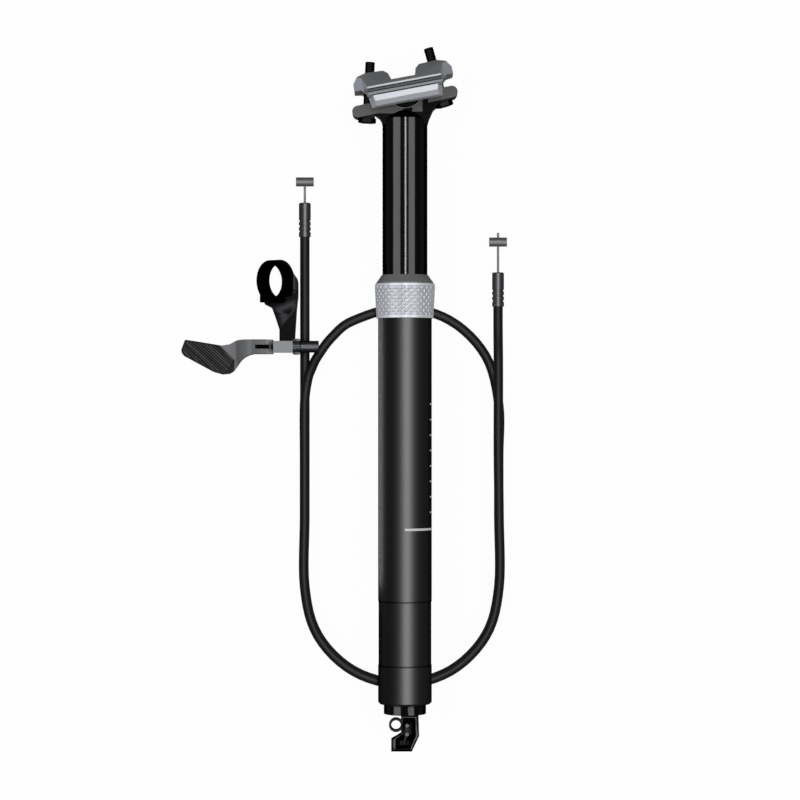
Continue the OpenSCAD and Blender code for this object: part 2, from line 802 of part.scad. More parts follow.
module pinch_hole(r, from, to) {
    translate([pinch_x, to, pinch_z]) rotate([90, 0, 0]) cylinder(r = r, h = to - from);
}

module lever_pin_hole(r, from, to) {
    translate([lever_x, to, lever_z]) rotate([90, 0, 0]) cylinder(r = r, h = to - from);
}

// Puts an outline given in shares of the leg's width and height in its place
function on_leg(points) = [for (p = points) [leg_right - p[0] * leg_w, leg_bottom_y + p[1] * leg_h]];

leg_outline = on_leg([
    [0.03, 1.07], [0, 1], [0, 0.76], [0.05, 0.55], [0.126, 0], [0.68, 0], [0.68, 0.2], [0.81, 0.39],
    [0.95, 0.57], [1.2, 0.63], [1.25, 0.68], [0.86, 0.79], [0.64, 1.1], [0.478, 1.377]
]);
gusset_outline = on_leg([
    [0.09, 0.74], [0.12, 0.55], [0.31, 0.475], [0.81, 0.475], [0.97, 0.58], [1.03, 0.68], [0.64, 0.79]
]);

// Half the width of the opening that is left when one looks straight down through the ring
function ring_opening(turn) = bar_r * cos(ring_turn) * cos(turn) - ring_w / 2 * sin(ring_turn) + 0.6;

module ring_view() {
    last_turn = 64;
    turns = [-last_turn:8:last_turn];
    translate([ring_x - 0.5, ring_y, rest_z - past]) linear_extrude(wide) polygon(concat(
        [for (turn = turns) [ring_opening(turn), bar_r * sin(turn)]],
        [for (turn = turns) [-ring_opening(turn), -bar_r * sin(turn)]]
    ));
}

module remote_bracket() {
    gusset_h = 12.6;
    lug_len = 14;
    color("#151516") difference() {
        union() {
            ring_frame() cylinder(r = ring_r, h = ring_w, center = true);
            ring_frame() translate([-0.75 * lug_len, -ring_r - 0.4, -ring_w / 2])
                cube([lug_len, ring_wall + 3, ring_w]);
            difference() {
                translate([0, 0, rest_z]) {
                    linear_extrude(leg_t) polygon(leg_outline);
                    linear_extrude(gusset_h) polygon(gusset_outline);
                }
                ring_view();
            }
        }
        ring_frame() cylinder(r = bar_r, h = wide, center = true);
        for (side = [-1, 1])
            ring_frame() translate([0, 0, side * (ring_w + wide) / 2])
                cylinder(r = bar_r + 0.6, h = wide, center = true);
        ring_frame() rotate([0, 0, split_turn]) translate([bar_r - 3, -split_w / 2, -wide / 2])
            cube([wide, split_w, wide]);
        pinch_hole(pinch_r + running, 8, lug_top + past);
        pinch_hole(pinch_head_r + 0.2, lug_top, lug_top + 12);
    }
}

module pinch_bolt() {
    socket_r = 1.4;
    color("#3a3b3d") difference() {
        union() {
            pinch_hole(pinch_r, 9, lug_top + seat);
            pinch_hole(pinch_head_r, lug_top, lug_top + pinch_head_h);
        }
        translate([pinch_x, lug_top + pinch_head_h + past, pinch_z]) rotate([90, 0, 0])
            cylinder(r = socket_r, h = past + 1.4, $fn = 6);
    }
}

module pivot_housing() {
    color("#8b8d90") difference() {
        translate([housing_left, housing_low_y, rest_z])
            cube([housing_right - housing_left, leg_bottom_y - housing_low_y, housing_top - rest_z]);
        translate([housing_left - past, line_y - slot_w / 2, rest_z - past])
            cube([slot_right - housing_left + past, slot_w, slot_roof - rest_z + past]);
        lever_pin_hole(lever_pin_r + seat, housing_low_y + past, leg_bottom_y + past);
        line_rod(stem_r + running, slot_right - past, housing_right + past);
    }
}

module lever_pin() {
    color("#c8cacc") lever_pin_hole(lever_pin_r, housing_low_y + past, leg_bottom_y);
}

module adjuster_lock_ring() {
    ring_len = 4.6;
    color("#3f4143") difference() {
        line_rod(lock_ring_r, housing_right, housing_right + ring_len);
        line_rod(stem_r + running, housing_right - past, housing_right + ring_len + past);
    }
}

module barrel_adjuster() {
    body_left = housing_right + 4.9;
    body_len = 12;
    socket_len = 6;
    color("#2b2c2e") difference() {
        union() {
            line_rod(stem_r, slot_right + 0.3, body_left + seat);
            line_rod(adjuster_r, body_left, body_left + body_len);
        }
        line_rod(wire_r + 0.3, slot_right, body_left + body_len + past);
        line_rod(cable_d / 2 + running, body_left + body_len - socket_len, body_left + body_len + past);
    }
}

// Puts an outline given in shares of the lever's length and of the neck's width in its place
function on_lever(points) = [for (p = points) [lever_x - p[0] * blade_reach, line_y + p[1] * neck_w]];

// Plan outline of the lever's blade
blade_outline = on_lever([
    [1, -0.16], [0.963, 0.51], [0.857, 0.396], [0.607, 0.104], [0.533, 0.177], [0.46, 0.458], [0.4, 0.5],
    [0, 0.5], [0, -0.5], [0.283, -0.5], [0.334, -0.583], [0.379, -0.75], [0.415, -0.98], [0.457, -1.396],
    [0.489, -1.688], [0.526, -1.854], [0.597, -1.896], [0.686, -1.719], [0.972, -0.625], [0.997, -0.385]
]);

// Top edge of the blade in side view, from the neck's end over its crown down to the pad
blade_crown = smooth([
    [lever_x - 10.7, line_z + 1], [lever_x - 0.22 * blade_reach, line_z + 1.4],
    [lever_x - 0.31 * blade_reach, line_z + 1], [lever_x - 0.365 * blade_reach, line_z - 0.7],
    [lever_x - 0.415 * blade_reach, line_z - 4.2], [lever_x - 0.455 * blade_reach, blade_top + 1.2],
    [lever_x - 0.482 * blade_reach, blade_top]
], 3);

// The whole side view; the neck's end leaves room for the housing as the lever swings
blade_side = concat(
    [[lever_x - 1.1 * blade_reach, rest_z], [lever_x - 0.53 * blade_reach, rest_z],
     [lever_x - 0.45 * blade_reach, rest_z + 0.7], [lever_x - 0.37 * blade_reach, rest_z + 2],
     [lever_x - 6.75, rest_z + 2], [lever_x - 6.75, lever_z - 2], [lever_x - 7.5, lever_z]],
    blade_crown,
    [[lever_x - 1.1 * blade_reach, blade_top]]
);

module lever_blade() {
    neck_socket_x = lever_x - 18.7;
    wire_slot_w = 2.3;
    slot_floor = line_z - barrel_r - wire_slot_w / 2;
    color("#5a5b5d") difference() {
        union() {
            intersection() {
                translate([0, 0, rest_z - past]) linear_extrude(wide) polygon(blade_outline);
                translate([0, line_y, 0]) rotate([90, 0, 0]) linear_extrude(wide, center = true) polygon(blade_side);
            }
            lever_pin_hole(eye_r, line_y - tongue_w / 2, line_y + tongue_w / 2);
            translate([lever_x - 9, line_y - tongue_w / 2, lever_z - 3]) cube([9, tongue_w, 6]);
        }
        lever_pin_hole(lever_pin_r + running, line_y - tongue_w, line_y + tongue_w);
        translate([neck_socket_x, line_y - wire_slot_w / 2, slot_floor]) cube([13.5, wire_slot_w, wide]);
        translate([neck_socket_x, line_y - wire_slot_w / 2, rest_z + 3.2]) cube([9, wire_slot_w, wide]);
        translate([neck_socket_x, line_y + wide / 2, line_z - barrel_r]) rotate([90, 0, 0])
            cylinder(r = barrel_r + 0.15, h = wide);
    }
}

// Plan outline of the thumb pad
pad_outline = on_lever([
    [0.981, -0.22], [0.95, 0.365], [0.857, 0.271], [0.619, -0.01], [0.489, -0.938], [0.545, -1.604],
    [0.595, -1.75], [0.68, -1.573], [0.957, -0.521]
]);

module thumb_pad() {
    rib_pitch = 1.45;
    rib_w = 0.65;
    rib_count = 17;
    rib_angle = -42;
    first_rib = [lever_x - 0.56 * blade_reach, line_y - 0.45 * neck_w];
    color("#141414") {
        translate([0, 0, blade_top]) linear_extrude(pad_t) polygon(pad_outline);
        intersection() {
            translate([0, 0, blade_top]) linear_extrude(pad_t + rib_h) polygon(pad_outline);
            translate([first_rib[0], first_rib[1], blade_top]) rotate([0, 0, rib_angle])
                for (k = [0:rib_count - 1])
                    translate([-wide / 2, -k * rib_pitch - rib_w, 0]) cube([wide, rib_w, pad_t + rib_h]);
        }
    }
}

// Cable

function catmull(a, b, c, d, t) = 0.5 * (2 * b + (c - a) * t + (2 * a - 5 * b + 4 * c - d) * t * t
    + (3 * b - a - 3 * c + d) * t * t * t);
function at(points, i) = points[max(0, min(len(points) - 1, i))];
function smooth(points, n) = concat(
    [for (i = [0:len(points) - 2], k = [0:n - 1])
        catmull(at(points, i - 1), points[i], points[i + 1], at(points, i + 2), k / n)],
    [points[len(points) - 1]]
);
function unit(v) = v / norm(v);
function ring_at(path, i, r, sides) =
    let (tangent = unit(at(path, i + 1) - at(path, i - 1)),
         side = unit(cross(tangent, [0, 0, 1])),
         up = cross(side, tangent))
    [for (k = [0:sides - 1]) path[i] + r * (cos(k * 360 / sides) * side + sin(k * 360 / sides) * up)];

// A closed tube swept along a path
module tube_along(path, r, sides) {
    last = len(path) - 1;
    points = [for (i = [0:last]) each ring_at(path, i, r, sides)];
    start_face = [for (k = [0:sides - 1]) k];
    end_face = [for (k = [sides - 1:-1:0]) last * sides + k];
    walls = [for (i = [0:last - 1], k = [0:sides - 1]) [
        i * sides + k, (i + 1) * sides + k, (i + 1) * sides + (k + 1) % sides, i * sides + (k + 1) % sides
    ]];
    polyhedron(points, concat([start_face, end_face], walls), convexity = 10);
}

module cable_housing() {
    color("#171717") tube_along(smooth(route, rings_per_point), cable_d / 2, cable_sides);
}

// A ferrule from the housing's end face, with grooves in its lower half
module ferrule(x, face) {
    groove_w = 1.2;
    groove_r = ferrule_r - 0.5;
    grooves = [for (k = [0:2]) 3 + k * 3.4];
    color("#3d3f42") translate([x, face, end_z]) rotate([-90, 0, 0]) rotate_extrude() polygon(concat(
        [[wire_r + running, 0], [ferrule_r, 0]],
        [for (g = grooves) each [[ferrule_r, g], [groove_r, g], [groove_r, g + groove_w], [ferrule_r, g + groove_w]]],
        [[ferrule_r, ferrule_len - 0.6], [ferrule_r - 0.6, ferrule_len], [wire_r + running, ferrule_len]]
    ));
}

module left_ferrule() ferrule(left_x, left_face);

module right_ferrule() ferrule(right_x, right_face);

module wire(x, from, to) {
    color("#9a9da0") translate([x, from, end_z]) rotate([-90, 0, 0]) cylinder(r = wire_r, h = to - from);
}

module end_barrel(x, y, hole_from, hole_to) {
    color("#8e9194") difference() {
        translate([x - barrel_len / 2, y, end_z]) rotate([0, 90, 0]) cylinder(r = barrel_r, h = barrel_len);
        translate([x, hole_from, end_z]) rotate([-90, 0, 0]) cylinder(r = wire_r + seat, h = hole_to - hole_from);
    }
}

module left_wire() wire(left_x, left_face + ferrule_len - wire_inside, left_barrel_y);

module left_barrel() end_barrel(left_x, left_barrel_y, left_barrel_y - 2 * barrel_r, left_barrel_y);

module right_wire() wire(right_x, right_face + ferrule_len - wire_inside, right_barrel_y + wire_tail);

module right_barrel() {
    difference() {
        end_barrel(right_x, right_barrel_y, right_barrel_y - 2 * barrel_r, right_barrel_y + 2 * barrel_r);
        color("#8e9194") translate([right_x, right_barrel_y, end_z]) rotate([0, 90, 0])
            cylinder(r = screw_r + seat, h = barrel_len);
    }
}

module pinch_screw() {
    screw_from = right_x + wire_r + 2 * seat;
    screw_to = right_x + barrel_len / 2 - 0.8;
    color("#4a4b4d") difference() {
        translate([screw_from, right_barrel_y, end_z]) rotate([0, 90, 0])
            cylinder(r = screw_r, h = screw_to - screw_from);
        translate([screw_to - 1.5, right_barrel_y, end_z]) rotate([0, 90, 0])
            cylinder(r = 0.8, h = 3, $fn = 6);
    }
}

outer_tube();
collar();
wiper_seal();
seal_ring();
upper_bush();
bottom_cap();
rod_nut();
piston_rod();
piston();
piston_band();
cable_stop_bracket();
actuator_pins();
actuator_arm();
release_pin();
release_button();
stanchion_tube();
seat_head();
lower_bush();
anti_rotation_keys();
cartridge_tube();
cartridge_gland();
cartridge_cap();
cartridge_bolt();
foot_ring();
floating_piston();
floating_seal();
lower_cradle();
upper_clamp();
clamp_nuts();
front_bolt();
front_washer();
rear_bolt();
rear_washer();
remote_bracket();
pinch_bolt();
pivot_housing();
lever_pin();
adjuster_lock_ring();
lever_blade();
thumb_pad();
barrel_adjuster();
cable_housing();
left_ferrule();
right_ferrule();
left_wire();
left_barrel();
right_wire();
right_barrel();
pinch_screw();
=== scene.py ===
# %% [markdown]
# # A dropper seatpost with its thumb remote and cable
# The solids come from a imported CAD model, in metres, and are never moved. This script dresses them:
# it adds a camera, soft light, the cable as a true curve, fine detail such as knurls and threads,
# and a node material for every surface.

# %% Load the frame
import json
from math import cos, pi, radians, sin, tan

import bmesh
import bpy
from mathutils import Matrix, Vector


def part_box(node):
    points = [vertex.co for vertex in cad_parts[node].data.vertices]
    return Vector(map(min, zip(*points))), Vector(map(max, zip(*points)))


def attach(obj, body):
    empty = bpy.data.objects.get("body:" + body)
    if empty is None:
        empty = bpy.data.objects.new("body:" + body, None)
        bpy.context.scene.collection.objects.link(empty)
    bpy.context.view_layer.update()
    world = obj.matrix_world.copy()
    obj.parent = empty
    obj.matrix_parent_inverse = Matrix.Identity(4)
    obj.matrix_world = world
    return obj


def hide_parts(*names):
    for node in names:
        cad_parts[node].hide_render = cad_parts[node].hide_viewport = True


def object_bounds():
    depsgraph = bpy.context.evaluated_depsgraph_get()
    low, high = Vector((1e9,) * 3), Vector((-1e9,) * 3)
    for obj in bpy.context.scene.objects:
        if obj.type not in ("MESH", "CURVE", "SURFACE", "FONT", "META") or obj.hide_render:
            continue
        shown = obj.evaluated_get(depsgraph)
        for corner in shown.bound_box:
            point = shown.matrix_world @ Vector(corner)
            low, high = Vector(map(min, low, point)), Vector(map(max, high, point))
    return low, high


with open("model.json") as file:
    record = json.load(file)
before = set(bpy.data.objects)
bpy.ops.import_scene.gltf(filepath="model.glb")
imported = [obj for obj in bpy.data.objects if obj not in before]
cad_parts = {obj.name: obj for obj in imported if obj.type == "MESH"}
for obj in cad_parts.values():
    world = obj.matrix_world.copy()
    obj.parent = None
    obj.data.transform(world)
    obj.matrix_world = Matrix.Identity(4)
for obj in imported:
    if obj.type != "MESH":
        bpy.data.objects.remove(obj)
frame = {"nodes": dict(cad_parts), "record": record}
cad_box = [list(corner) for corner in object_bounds()]
scene = bpy.context.scene
MM = 0.001

# %% [markdown]
# ## Camera
# A long lens from 1.76 m keeps the mild perspective that the rings on the tube show.

# %% Camera
CAMERA_HEIGHT = 1755
LENS = 121.5
SENSOR = 36
camera_data = bpy.data.cameras.new("camera")
camera_data.lens = LENS
camera_data.sensor_width = SENSOR
camera_data.clip_end = 200
camera = bpy.data.objects.new("camera", camera_data)
camera.location = (-3.2 * MM, -53 * MM, CAMERA_HEIGHT * MM)
scene.collection.objects.link(camera)
scene.camera = camera
print("picture width at the post's axis, mm:", round(CAMERA_HEIGHT * SENSOR / LENS, 1))

# %% [markdown]
# ## Cable
# A shift cable's housing is a steel coil in a smooth plastic sheath: it bends in wide even curves.
# It lies in one and a half turns under the post. A curve with a round bevel is the natural tool:
# its centreline is the route, a Catmull-Rom curve through listed points. It is then made a mesh.

# %% Cable route
CABLE_D = 6.3 * MM
# The lower turn lies on the floor and the upper turn on the lower one
low = -27.45
high = -21.05
route = [
    (-66, 54.5, -26.6), (-66, 36, -26.6), (-66, 0, low), (-66, -40, low), (-66, -80, low),
    (-66, -130, low), (-66, -176, low), (-57.4, -208, low), (-34, -231.4, low), (-2, -240, low),
    (30, -231.4, low), (53.4, -208, low), (62, -176, low), (62, -130, low), (62, -90, low),
    (62, -56, low), (53.4, -24, low), (30, -0.6, low), (-2, 8, low), (-34, -0.6, low),
    (-48, -11.4, low), (-57.4, -24, -25.6), (-61.3, -32, -23.1), (-64, -40, -21.3), (-66, -56, high),
    (-66, -90, high), (-66, -130, high), (-66, -176, high),
    (-57.4, -208, high), (-34, -231.4, high), (-2, -240, high), (30, -231.4, high), (53.4, -208, high),
    (62, -176, high), (62, -130, high), (61.5, -90, high), (61.5, -56, high), (61.5, -28, -21.2),
    (61.5, -8, -26.2), (61.5, 8.6, -26.6),
]


def smooth_route(points, steps):
    """Catmull-Rom curve through the points, as the CAD source draws it."""
    points = [Vector(p) * MM for p in points]
    out = []
    for i in range(len(points) - 1):
        a = points[max(i - 1, 0)]
        b = points[i]
        c = points[i + 1]
        d = points[min(i + 2, len(points) - 1)]
        for k in range(steps):
            t = k / steps
            out.append(0.5 * (2 * b + (c - a) * t + (2 * a - 5 * b + 4 * c - d) * t * t
                              + (3 * b - a - 3 * c + d) * t ** 3))
    out.append(points[-1])
    return out


print("route points:", len(route))

# %% Cable curve
centreline = smooth_route(route, 6)
cable_curve = bpy.data.curves.new("cable_sheath", "CURVE")
cable_curve.dimensions = "3D"
cable_curve.bevel_depth = CABLE_D / 2
cable_curve.bevel_resolution = 6
cable_curve.use_fill_caps = True
spline = cable_curve.splines.new("POLY")
spline.points.add(len(centreline) - 1)
for place, point in zip(spline.points, centreline):
    place.co = (*point, 1)
spline.use_smooth = True
guide = bpy.data.objects.new("cable_guide", cable_curve)
scene.collection.objects.link(guide)
cable_mesh = bpy.data.meshes.new_from_object(guide.evaluated_get(bpy.context.evaluated_depsgraph_get()))
bpy.data.objects.remove(guide)
cable_mesh.shade_smooth()
cable_mesh.set_sharp_from_angle(angle=radians(40))
cable = bpy.data.objects.new("cable_sheath", cable_mesh)
scene.collection.objects.link(cable)
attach(cable, "cable")
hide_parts("cable_housing")

# %% [markdown]
# ## Light and floor
# Long softboxes run beside the post: one left, one right and a slim bright one almost overhead. A
# polished round post mirrors them as three upright strips. The satin tube would blur all three into a
# flat grey, so in a studio black flags keep them off it. A softbox of its own gives it one soft sheen,
# and a slim strip close beside it a thin bright edge. The cable and its ferrules are kept from the two
# side boxes, which leaves them one narrow sheen. Blender's light linking does the work of the flags.
# A lamp that is to show at an angle on a cylinder stands at twice that angle from the camera, so each
# lamp is given by the two angles between which it is seen. The floor is pale, and for the camera it
# glows so that it reads as a white sweep with a faint shadow.


# %% Node helper and colours
def linear_colour(code):
    """Linear RGBA from an sRGB hex code."""
    values = [int(code[i:i + 2], 16) / 255 for i in (1, 3, 5)]
    return [v / 12.92 if v <= 0.04045 else ((v + 0.055) / 1.055) ** 2.4 for v in values] + [1.0]


def add_node(tree, kind, inputs=None, **settings):
    """Adds one node with its settings; each input is a plain value or another node's output."""
    made = tree.nodes.new(kind)
    for name, value in settings.items():
        setattr(made, name, value)
    for socket, value in (inputs or {}).items():
        if isinstance(value, bpy.types.NodeSocket):
            tree.links.new(value, made.inputs[socket])
        else:
            made.inputs[socket].default_value = value
    return made


print("black and white, linear:", linear_colour("#000000")[0], linear_colour("#ffffff")[0])

# %% World
WORLD_LEVEL = 0.06
world = bpy.data.worlds.new("studio")
scene.world = world
world.use_nodes = True
world.node_tree.nodes["Background"].inputs["Color"].default_value = linear_colour("#ffffff")
world.node_tree.nodes["Background"].inputs["Strength"].default_value = WORLD_LEVEL
scene.view_settings.view_transform = "Standard"
print("world level:", WORLD_LEVEL)


# %% Softboxes and flags
def softbox(name, from_deg, to_deg, radiance, length=2.0, distance=1.5, middle_y=-0.05):
    """A strip lamp along Y, seen from the post between two angles from the vertical, rear side positive."""
    middle = radians((from_deg + to_deg) / 2)
    width = 2 * distance * tan(radians(to_deg - from_deg) / 2)
    lamp = bpy.data.lights.new(name, "AREA")
    lamp.shape = "RECTANGLE"
    lamp.size = width
    lamp.size_y = length
    lamp.energy = radiance * pi * width * length
    made = bpy.data.objects.new(name, lamp)
    made.location = (distance * sin(middle), middle_y, distance * cos(middle))
    made.rotation_euler = (0, middle, 0)
    scene.collection.objects.link(made)
    print(name, "width, m:", round(width, 3), "watts:", round(lamp.energy, 3))
    return made


def aim(lamp, pieces, state):
    """Keeps a lamp off the pieces with EXCLUDE, or off all but them with INCLUDE."""
    group = lamp.light_linking.receiver_collection or bpy.data.collections.new(lamp.name + "_flag")
    lamp.light_linking.receiver_collection = group
    for piece in pieces:
        group.objects.link(piece)
    for entry in group.collection_objects:
        entry.light_linking.link_state = state


# %% Lamps
satin_pieces = [frame["nodes"]["outer_tube"]]
slim_pieces = [cable, frame["nodes"]["left_ferrule"], frame["nodes"]["right_ferrule"]]
softbox_over = softbox("softbox_over", 0, 6, 9.0)
side_boxes = [softbox("softbox_left", -62, -24, 1.9), softbox("softbox_right", 19, 51, 1.9)]
for lamp in (softbox_over, *side_boxes):
    aim(lamp, satin_pieces, "EXCLUDE")
for lamp in side_boxes:
    aim(lamp, slim_pieces, "EXCLUDE")
slim_strip = softbox("slim_strip", -111, -96, 6.5, length=0.18, distance=0.045, middle_y=-0.085)
for lamp in (softbox("softbox_tube", -7, 24, 4.7), slim_strip):
    aim(lamp, satin_pieces, "INCLUDE")

# %% Floor
FLOOR_GLOW = 0.96
MIRRORED_GLOW = 0.12
FLOOR_REACH = 40
floor_z = cad_box[0][2]
corners = [(x * FLOOR_REACH, y * FLOOR_REACH, floor_z) for x, y in ((-1, -1), (1, -1), (1, 1), (-1, 1))]
floor_mesh = bpy.data.meshes.new("floor")
floor_mesh.from_pydata(corners, [], [(0, 1, 2, 3)])
floor = bpy.data.objects.new("floor", floor_mesh)
scene.collection.objects.link(floor)
print("floor at z, mm:", round(floor_z / MM, 2))

# %% Floor finish
# Smooth white paper: it scatters evenly, and only the camera and mirrored rays see it glow
floor_paper = bpy.data.materials.new("white_paper_sweep")
floor_paper.use_nodes = True
tree = floor_paper.node_tree
paper = tree.nodes["Principled BSDF"]
paper.inputs["Base Color"].default_value = linear_colour("#f4f4f4")
paper.inputs["Roughness"].default_value = 0.9
ray = add_node(tree, "ShaderNodeLightPath").outputs
mirrored = add_node(tree, "ShaderNodeMath", {
    0: ray["Is Glossy Ray"], 1: ray["Is Transmission Ray"]}, operation="MAXIMUM").outputs[0]
share = add_node(tree, "ShaderNodeMath", {
    0: ray["Is Camera Ray"], 1: FLOOR_GLOW, 2: mirrored}, operation="MULTIPLY_ADD")
level = add_node(tree, "ShaderNodeMath", {
    0: mirrored, 1: MIRRORED_GLOW, 2: ray["Is Camera Ray"]}, operation="MULTIPLY_ADD")
glow = add_node(tree, "ShaderNodeEmission", {
    "Color": linear_colour("#ffffff"), "Strength": level.outputs[0]})
mixed = add_node(tree, "ShaderNodeMixShader", {
    0: share.outputs[0], 1: paper.outputs[0], 2: glow.outputs[0]})
tree.links.new(mixed.outputs[0], tree.nodes["Material Output"].inputs["Surface"])
floor_mesh.materials.append(floor_paper)
print("floor finish:", floor_paper.name)

# %% [markdown]
# ## Finishes
# Each finish starts from the real material and how its surface was made. All patterns read Object
# coordinates, whose unit is the metre, so a noise of scale 1 / size has features of that real size. The
# grain of blasting, polishing or moulding is a tenth of a millimetre or less, which would not show here,
# so it is drawn coarser, at 0.3 to 0.8 mm.


# %% Finish helper
# A grain is about a third as deep as it is wide
GRAIN_DEPTH = 0.3


def finish(name, colour, metallic, roughness, grain_mm, grain_bump, tint=0.06, rough_spread=0.08,
           stretch=(1, 1, 1), edge="#ffffff", specular=0.5):
    """A metal or plastic with a fine grain: the noise varies colour and roughness and gives a slight bump.

    On a metal, edge is the colour of what it mirrors at a glancing angle.
    """
    made = bpy.data.materials.new(name)
    made.use_nodes = True
    tree = made.node_tree
    shader = tree.nodes["Principled BSDF"]
    shader.inputs["Metallic"].default_value = metallic
    shader.inputs["Specular Tint"].default_value = linear_colour(edge)
    shader.inputs["Specular IOR Level"].default_value = specular
    place = add_node(tree, "ShaderNodeTexCoord")
    turned = add_node(tree, "ShaderNodeMapping", {"Vector": place.outputs["Object"], "Scale": stretch})
    grain = add_node(tree, "ShaderNodeTexNoise", {
        "Vector": turned.outputs[0], "Scale": 1 / (grain_mm * MM), "Detail": 3.0})
    base = linear_colour(colour)
    dark = [v * (1 - tint) for v in base[:3]] + [1]
    pale = [min(1, v * (1 + tint)) for v in base[:3]] + [1]
    hue = add_node(tree, "ShaderNodeMix", {
        "Factor": grain.outputs["Fac"], 6: dark, 7: pale}, data_type="RGBA")
    rough = add_node(tree, "ShaderNodeMapRange", {
        0: grain.outputs["Fac"], 3: roughness - rough_spread / 2, 4: roughness + rough_spread / 2})
    bump = add_node(tree, "ShaderNodeBump", {
        "Height": grain.outputs["Fac"], "Strength": grain_bump, "Distance": grain_mm * MM * GRAIN_DEPTH})
    tree.links.new(hue.outputs[2], shader.inputs["Base Color"])
    tree.links.new(rough.outputs[0], shader.inputs["Roughness"])
    tree.links.new(bump.outputs[0], shader.inputs["Normal"])
    return made


# %% [markdown]
# Black anodising is a dyed oxide on bright metal: it mirrors lamps weakly, and it turns darker, not
# paler, at its edges. So the black parts are metals with a dark colour and a darker edge, and how bright
# a lamp shows in them is set by that colour. Paint, rubber and plastic are not metals: their colour is
# what scatters back, and a white sheen lies over it.

# %% Finishes by slot
# What a black metal mirrors where it turns away: next to nothing
DARK_EDGE = "#1a1a1a"
finishes = {
    # Bead-blasted, then black anodised: a soft even sheen, no mirror
    "tube_black": finish("satin_anodised_tube", "#505051", 1.0, 0.43, 0.5, 0.10, edge="#5a5a5a"),
    # Polished, then hard anodised: sharp reflections, faint lines along the polishing
    "stanchion_black": finish("polished_hard_anodised_post", "#434344", 1.0, 0.11, 0.8, 0.02,
                              stretch=(1, 6, 1), rough_spread=0.03, edge=DARK_EDGE),
    # Turned aluminium with a fine blast, clear anodised: bright, slightly blue
    "silver": finish("bead_blasted_aluminium", "#c2c5cb", 0.32, 0.38, 0.4, 0.05, edge="#d8dade"),
    # Forged alloy, blasted and anodised grey: an even mid grey that shows its form by shade alone
    "grey_alloy": finish("blasted_grey_anodised_alloy", "#7d7f83", 0.15, 0.42, 0.4, 0.08),
    # Machined alloy, black anodised to a gloss: nearly black, with small sharp glints
    "black_alloy": finish("gloss_black_anodised_alloy", "#18181a", 1.0, 0.2, 0.5, 0.05, edge=DARK_EDGE),
    # Steel with black oxide: dull black with small bright edges
    "black_steel": finish("black_oxide_steel", "#18181a", 1.0, 0.28, 0.4, 0.08, edge=DARK_EDGE),
    # Drawn or turned bright steel: a clear grey metal with a broken highlight
    "steel": finish("drawn_bright_steel", "#8f9296", 1.0, 0.3, 0.3, 0.06),
    # Turned brass, left bare: a warm yellow that is seen only inside the post
    "brass": finish("turned_brass", "#b5954f", 1.0, 0.3, 0.4, 0.05),
    # Nitrile with a graphite coat: grey and slightly shiny, darker where it turns away
    "seal_rubber": finish("graphited_nitrile_wiper", "#8f9092", 0.6, 0.42, 0.5, 0.06, edge=DARK_EDGE),
    # Moulded acetal for the bushes: milky, smooth and faintly glossy
    "bush_plastic": finish("moulded_acetal", "#cbc4ac", 0.0, 0.45, 0.6, 0.05),
    # Forged lever with a grey wet coat that looks darker on its rounded edges
    "lever_grey": finish("grey_coated_forging", "#606163", 0.85, 0.5, 0.45, 0.06, edge=DARK_EDGE),
    # Moulded soft rubber: deep black and matt, with a fine tooth
    "pad_rubber": finish("ribbed_thumb_rubber", "#0d0d0d", 0.0, 0.6, 0.5, 0.12, specular=0.3),
    # Extruded soft plastic over a steel coil: black with one long quiet sheen
    "cable_black": finish("extruded_cable_sheath", "#090909", 0.0, 0.55, 0.6, 0.05, specular=0.9),
    # Turned alloy, anodised dark grey: a smooth grey barrel with black sides
    "ferrule_grey": finish("dark_anodised_adjuster", "#5c5d60", 1.0, 0.36, 0.4, 0.06, edge=DARK_EDGE),
}
slot_of = {part["node"]: part["material_slot"] for part in frame["record"]["subparts"]}
print("finishes by slot:", len(finishes))

# %% Second finishes
# Several second finishes below are painted light or shade, and their comments say so
# White ink, screen printed: flat and matt, a little grey on black
print_ink = finish("screen_printed_ink", "#c8c8c8", 0.0, 0.5, 0.3, 0.05)
# The clamp's lip: a painted highlight, pale grey on the grey alloy
bright_edge = finish("painted_highlight_lip", "#abadb3", 0.3, 0.35, 0.3, 0.04)
# End faces of the clamp, painted a paler blue grey than the rest of it
pale_face = finish("pale_clamp_end", "#a9abb4", 0.4, 0.42, 0.4, 0.06)
# A groove under an overhang: the same alloy painted darker, as painted shade
shaded_groove = finish("painted_shade_groove", "#4a4b4f", 0.5, 0.45, 0.4, 0.06)
# Painted shade: slots, recesses and faces in shade are painted plain black
slot_shade_black = finish("painted_shade_plain_black", "#060606", 0.0, 0.7, 0.4, 0.05, specular=0.1)
# Rib crests of the pad: a painted highlight, greyer than the valleys
rib_crest_highlight = finish("painted_highlight_rib_crest", "#343435", 0.0, 0.5, 0.4, 0.08)
# Ridge of the bracket: a painted highlight, dark grey on the black
ridge_highlight = finish("painted_highlight_ridge", "#55565a", 0.9, 0.4, 0.4, 0.06, edge=DARK_EDGE)
# Rounded edges and sides of the lever: painted shade, black and smooth
rim_painted_shade = finish("painted_shade_rim", "#0c0c0c", 0.0, 0.45, 0.45, 0.06, specular=0.25)
# Where the lever slopes to the pad: a matt copy of its coat, an even dark grey painted as lit
lever_shoulder = finish("painted_light_shoulder", "#66676a", 0.0, 0.5, 0.45, 0.06)
# Coated flat of the pivot housing: a paler, even grey
hub_face = finish("grey_coated_hub", "#86878a", 0.0, 0.5, 0.45, 0.05)
# Front of the head's arms: painted light, a warm dark grey without glints on the black alloy
arm_face = finish("painted_light_arm_front", "#504e4d", 0.2, 0.5, 0.45, 0.08)
# Step of the lever that faces the hub: painted pale, as painted light on a steep face the lamps barely reach
lever_step = finish("painted_light_step", "#b4b5b8", 0.0, 0.5, 0.45, 0.05)
# Rims of the collar, turned bright beside the knurl
rim_bright = finish("turned_bright_rim", "#d9dce2", 0.25, 0.35, 0.3, 0.03)
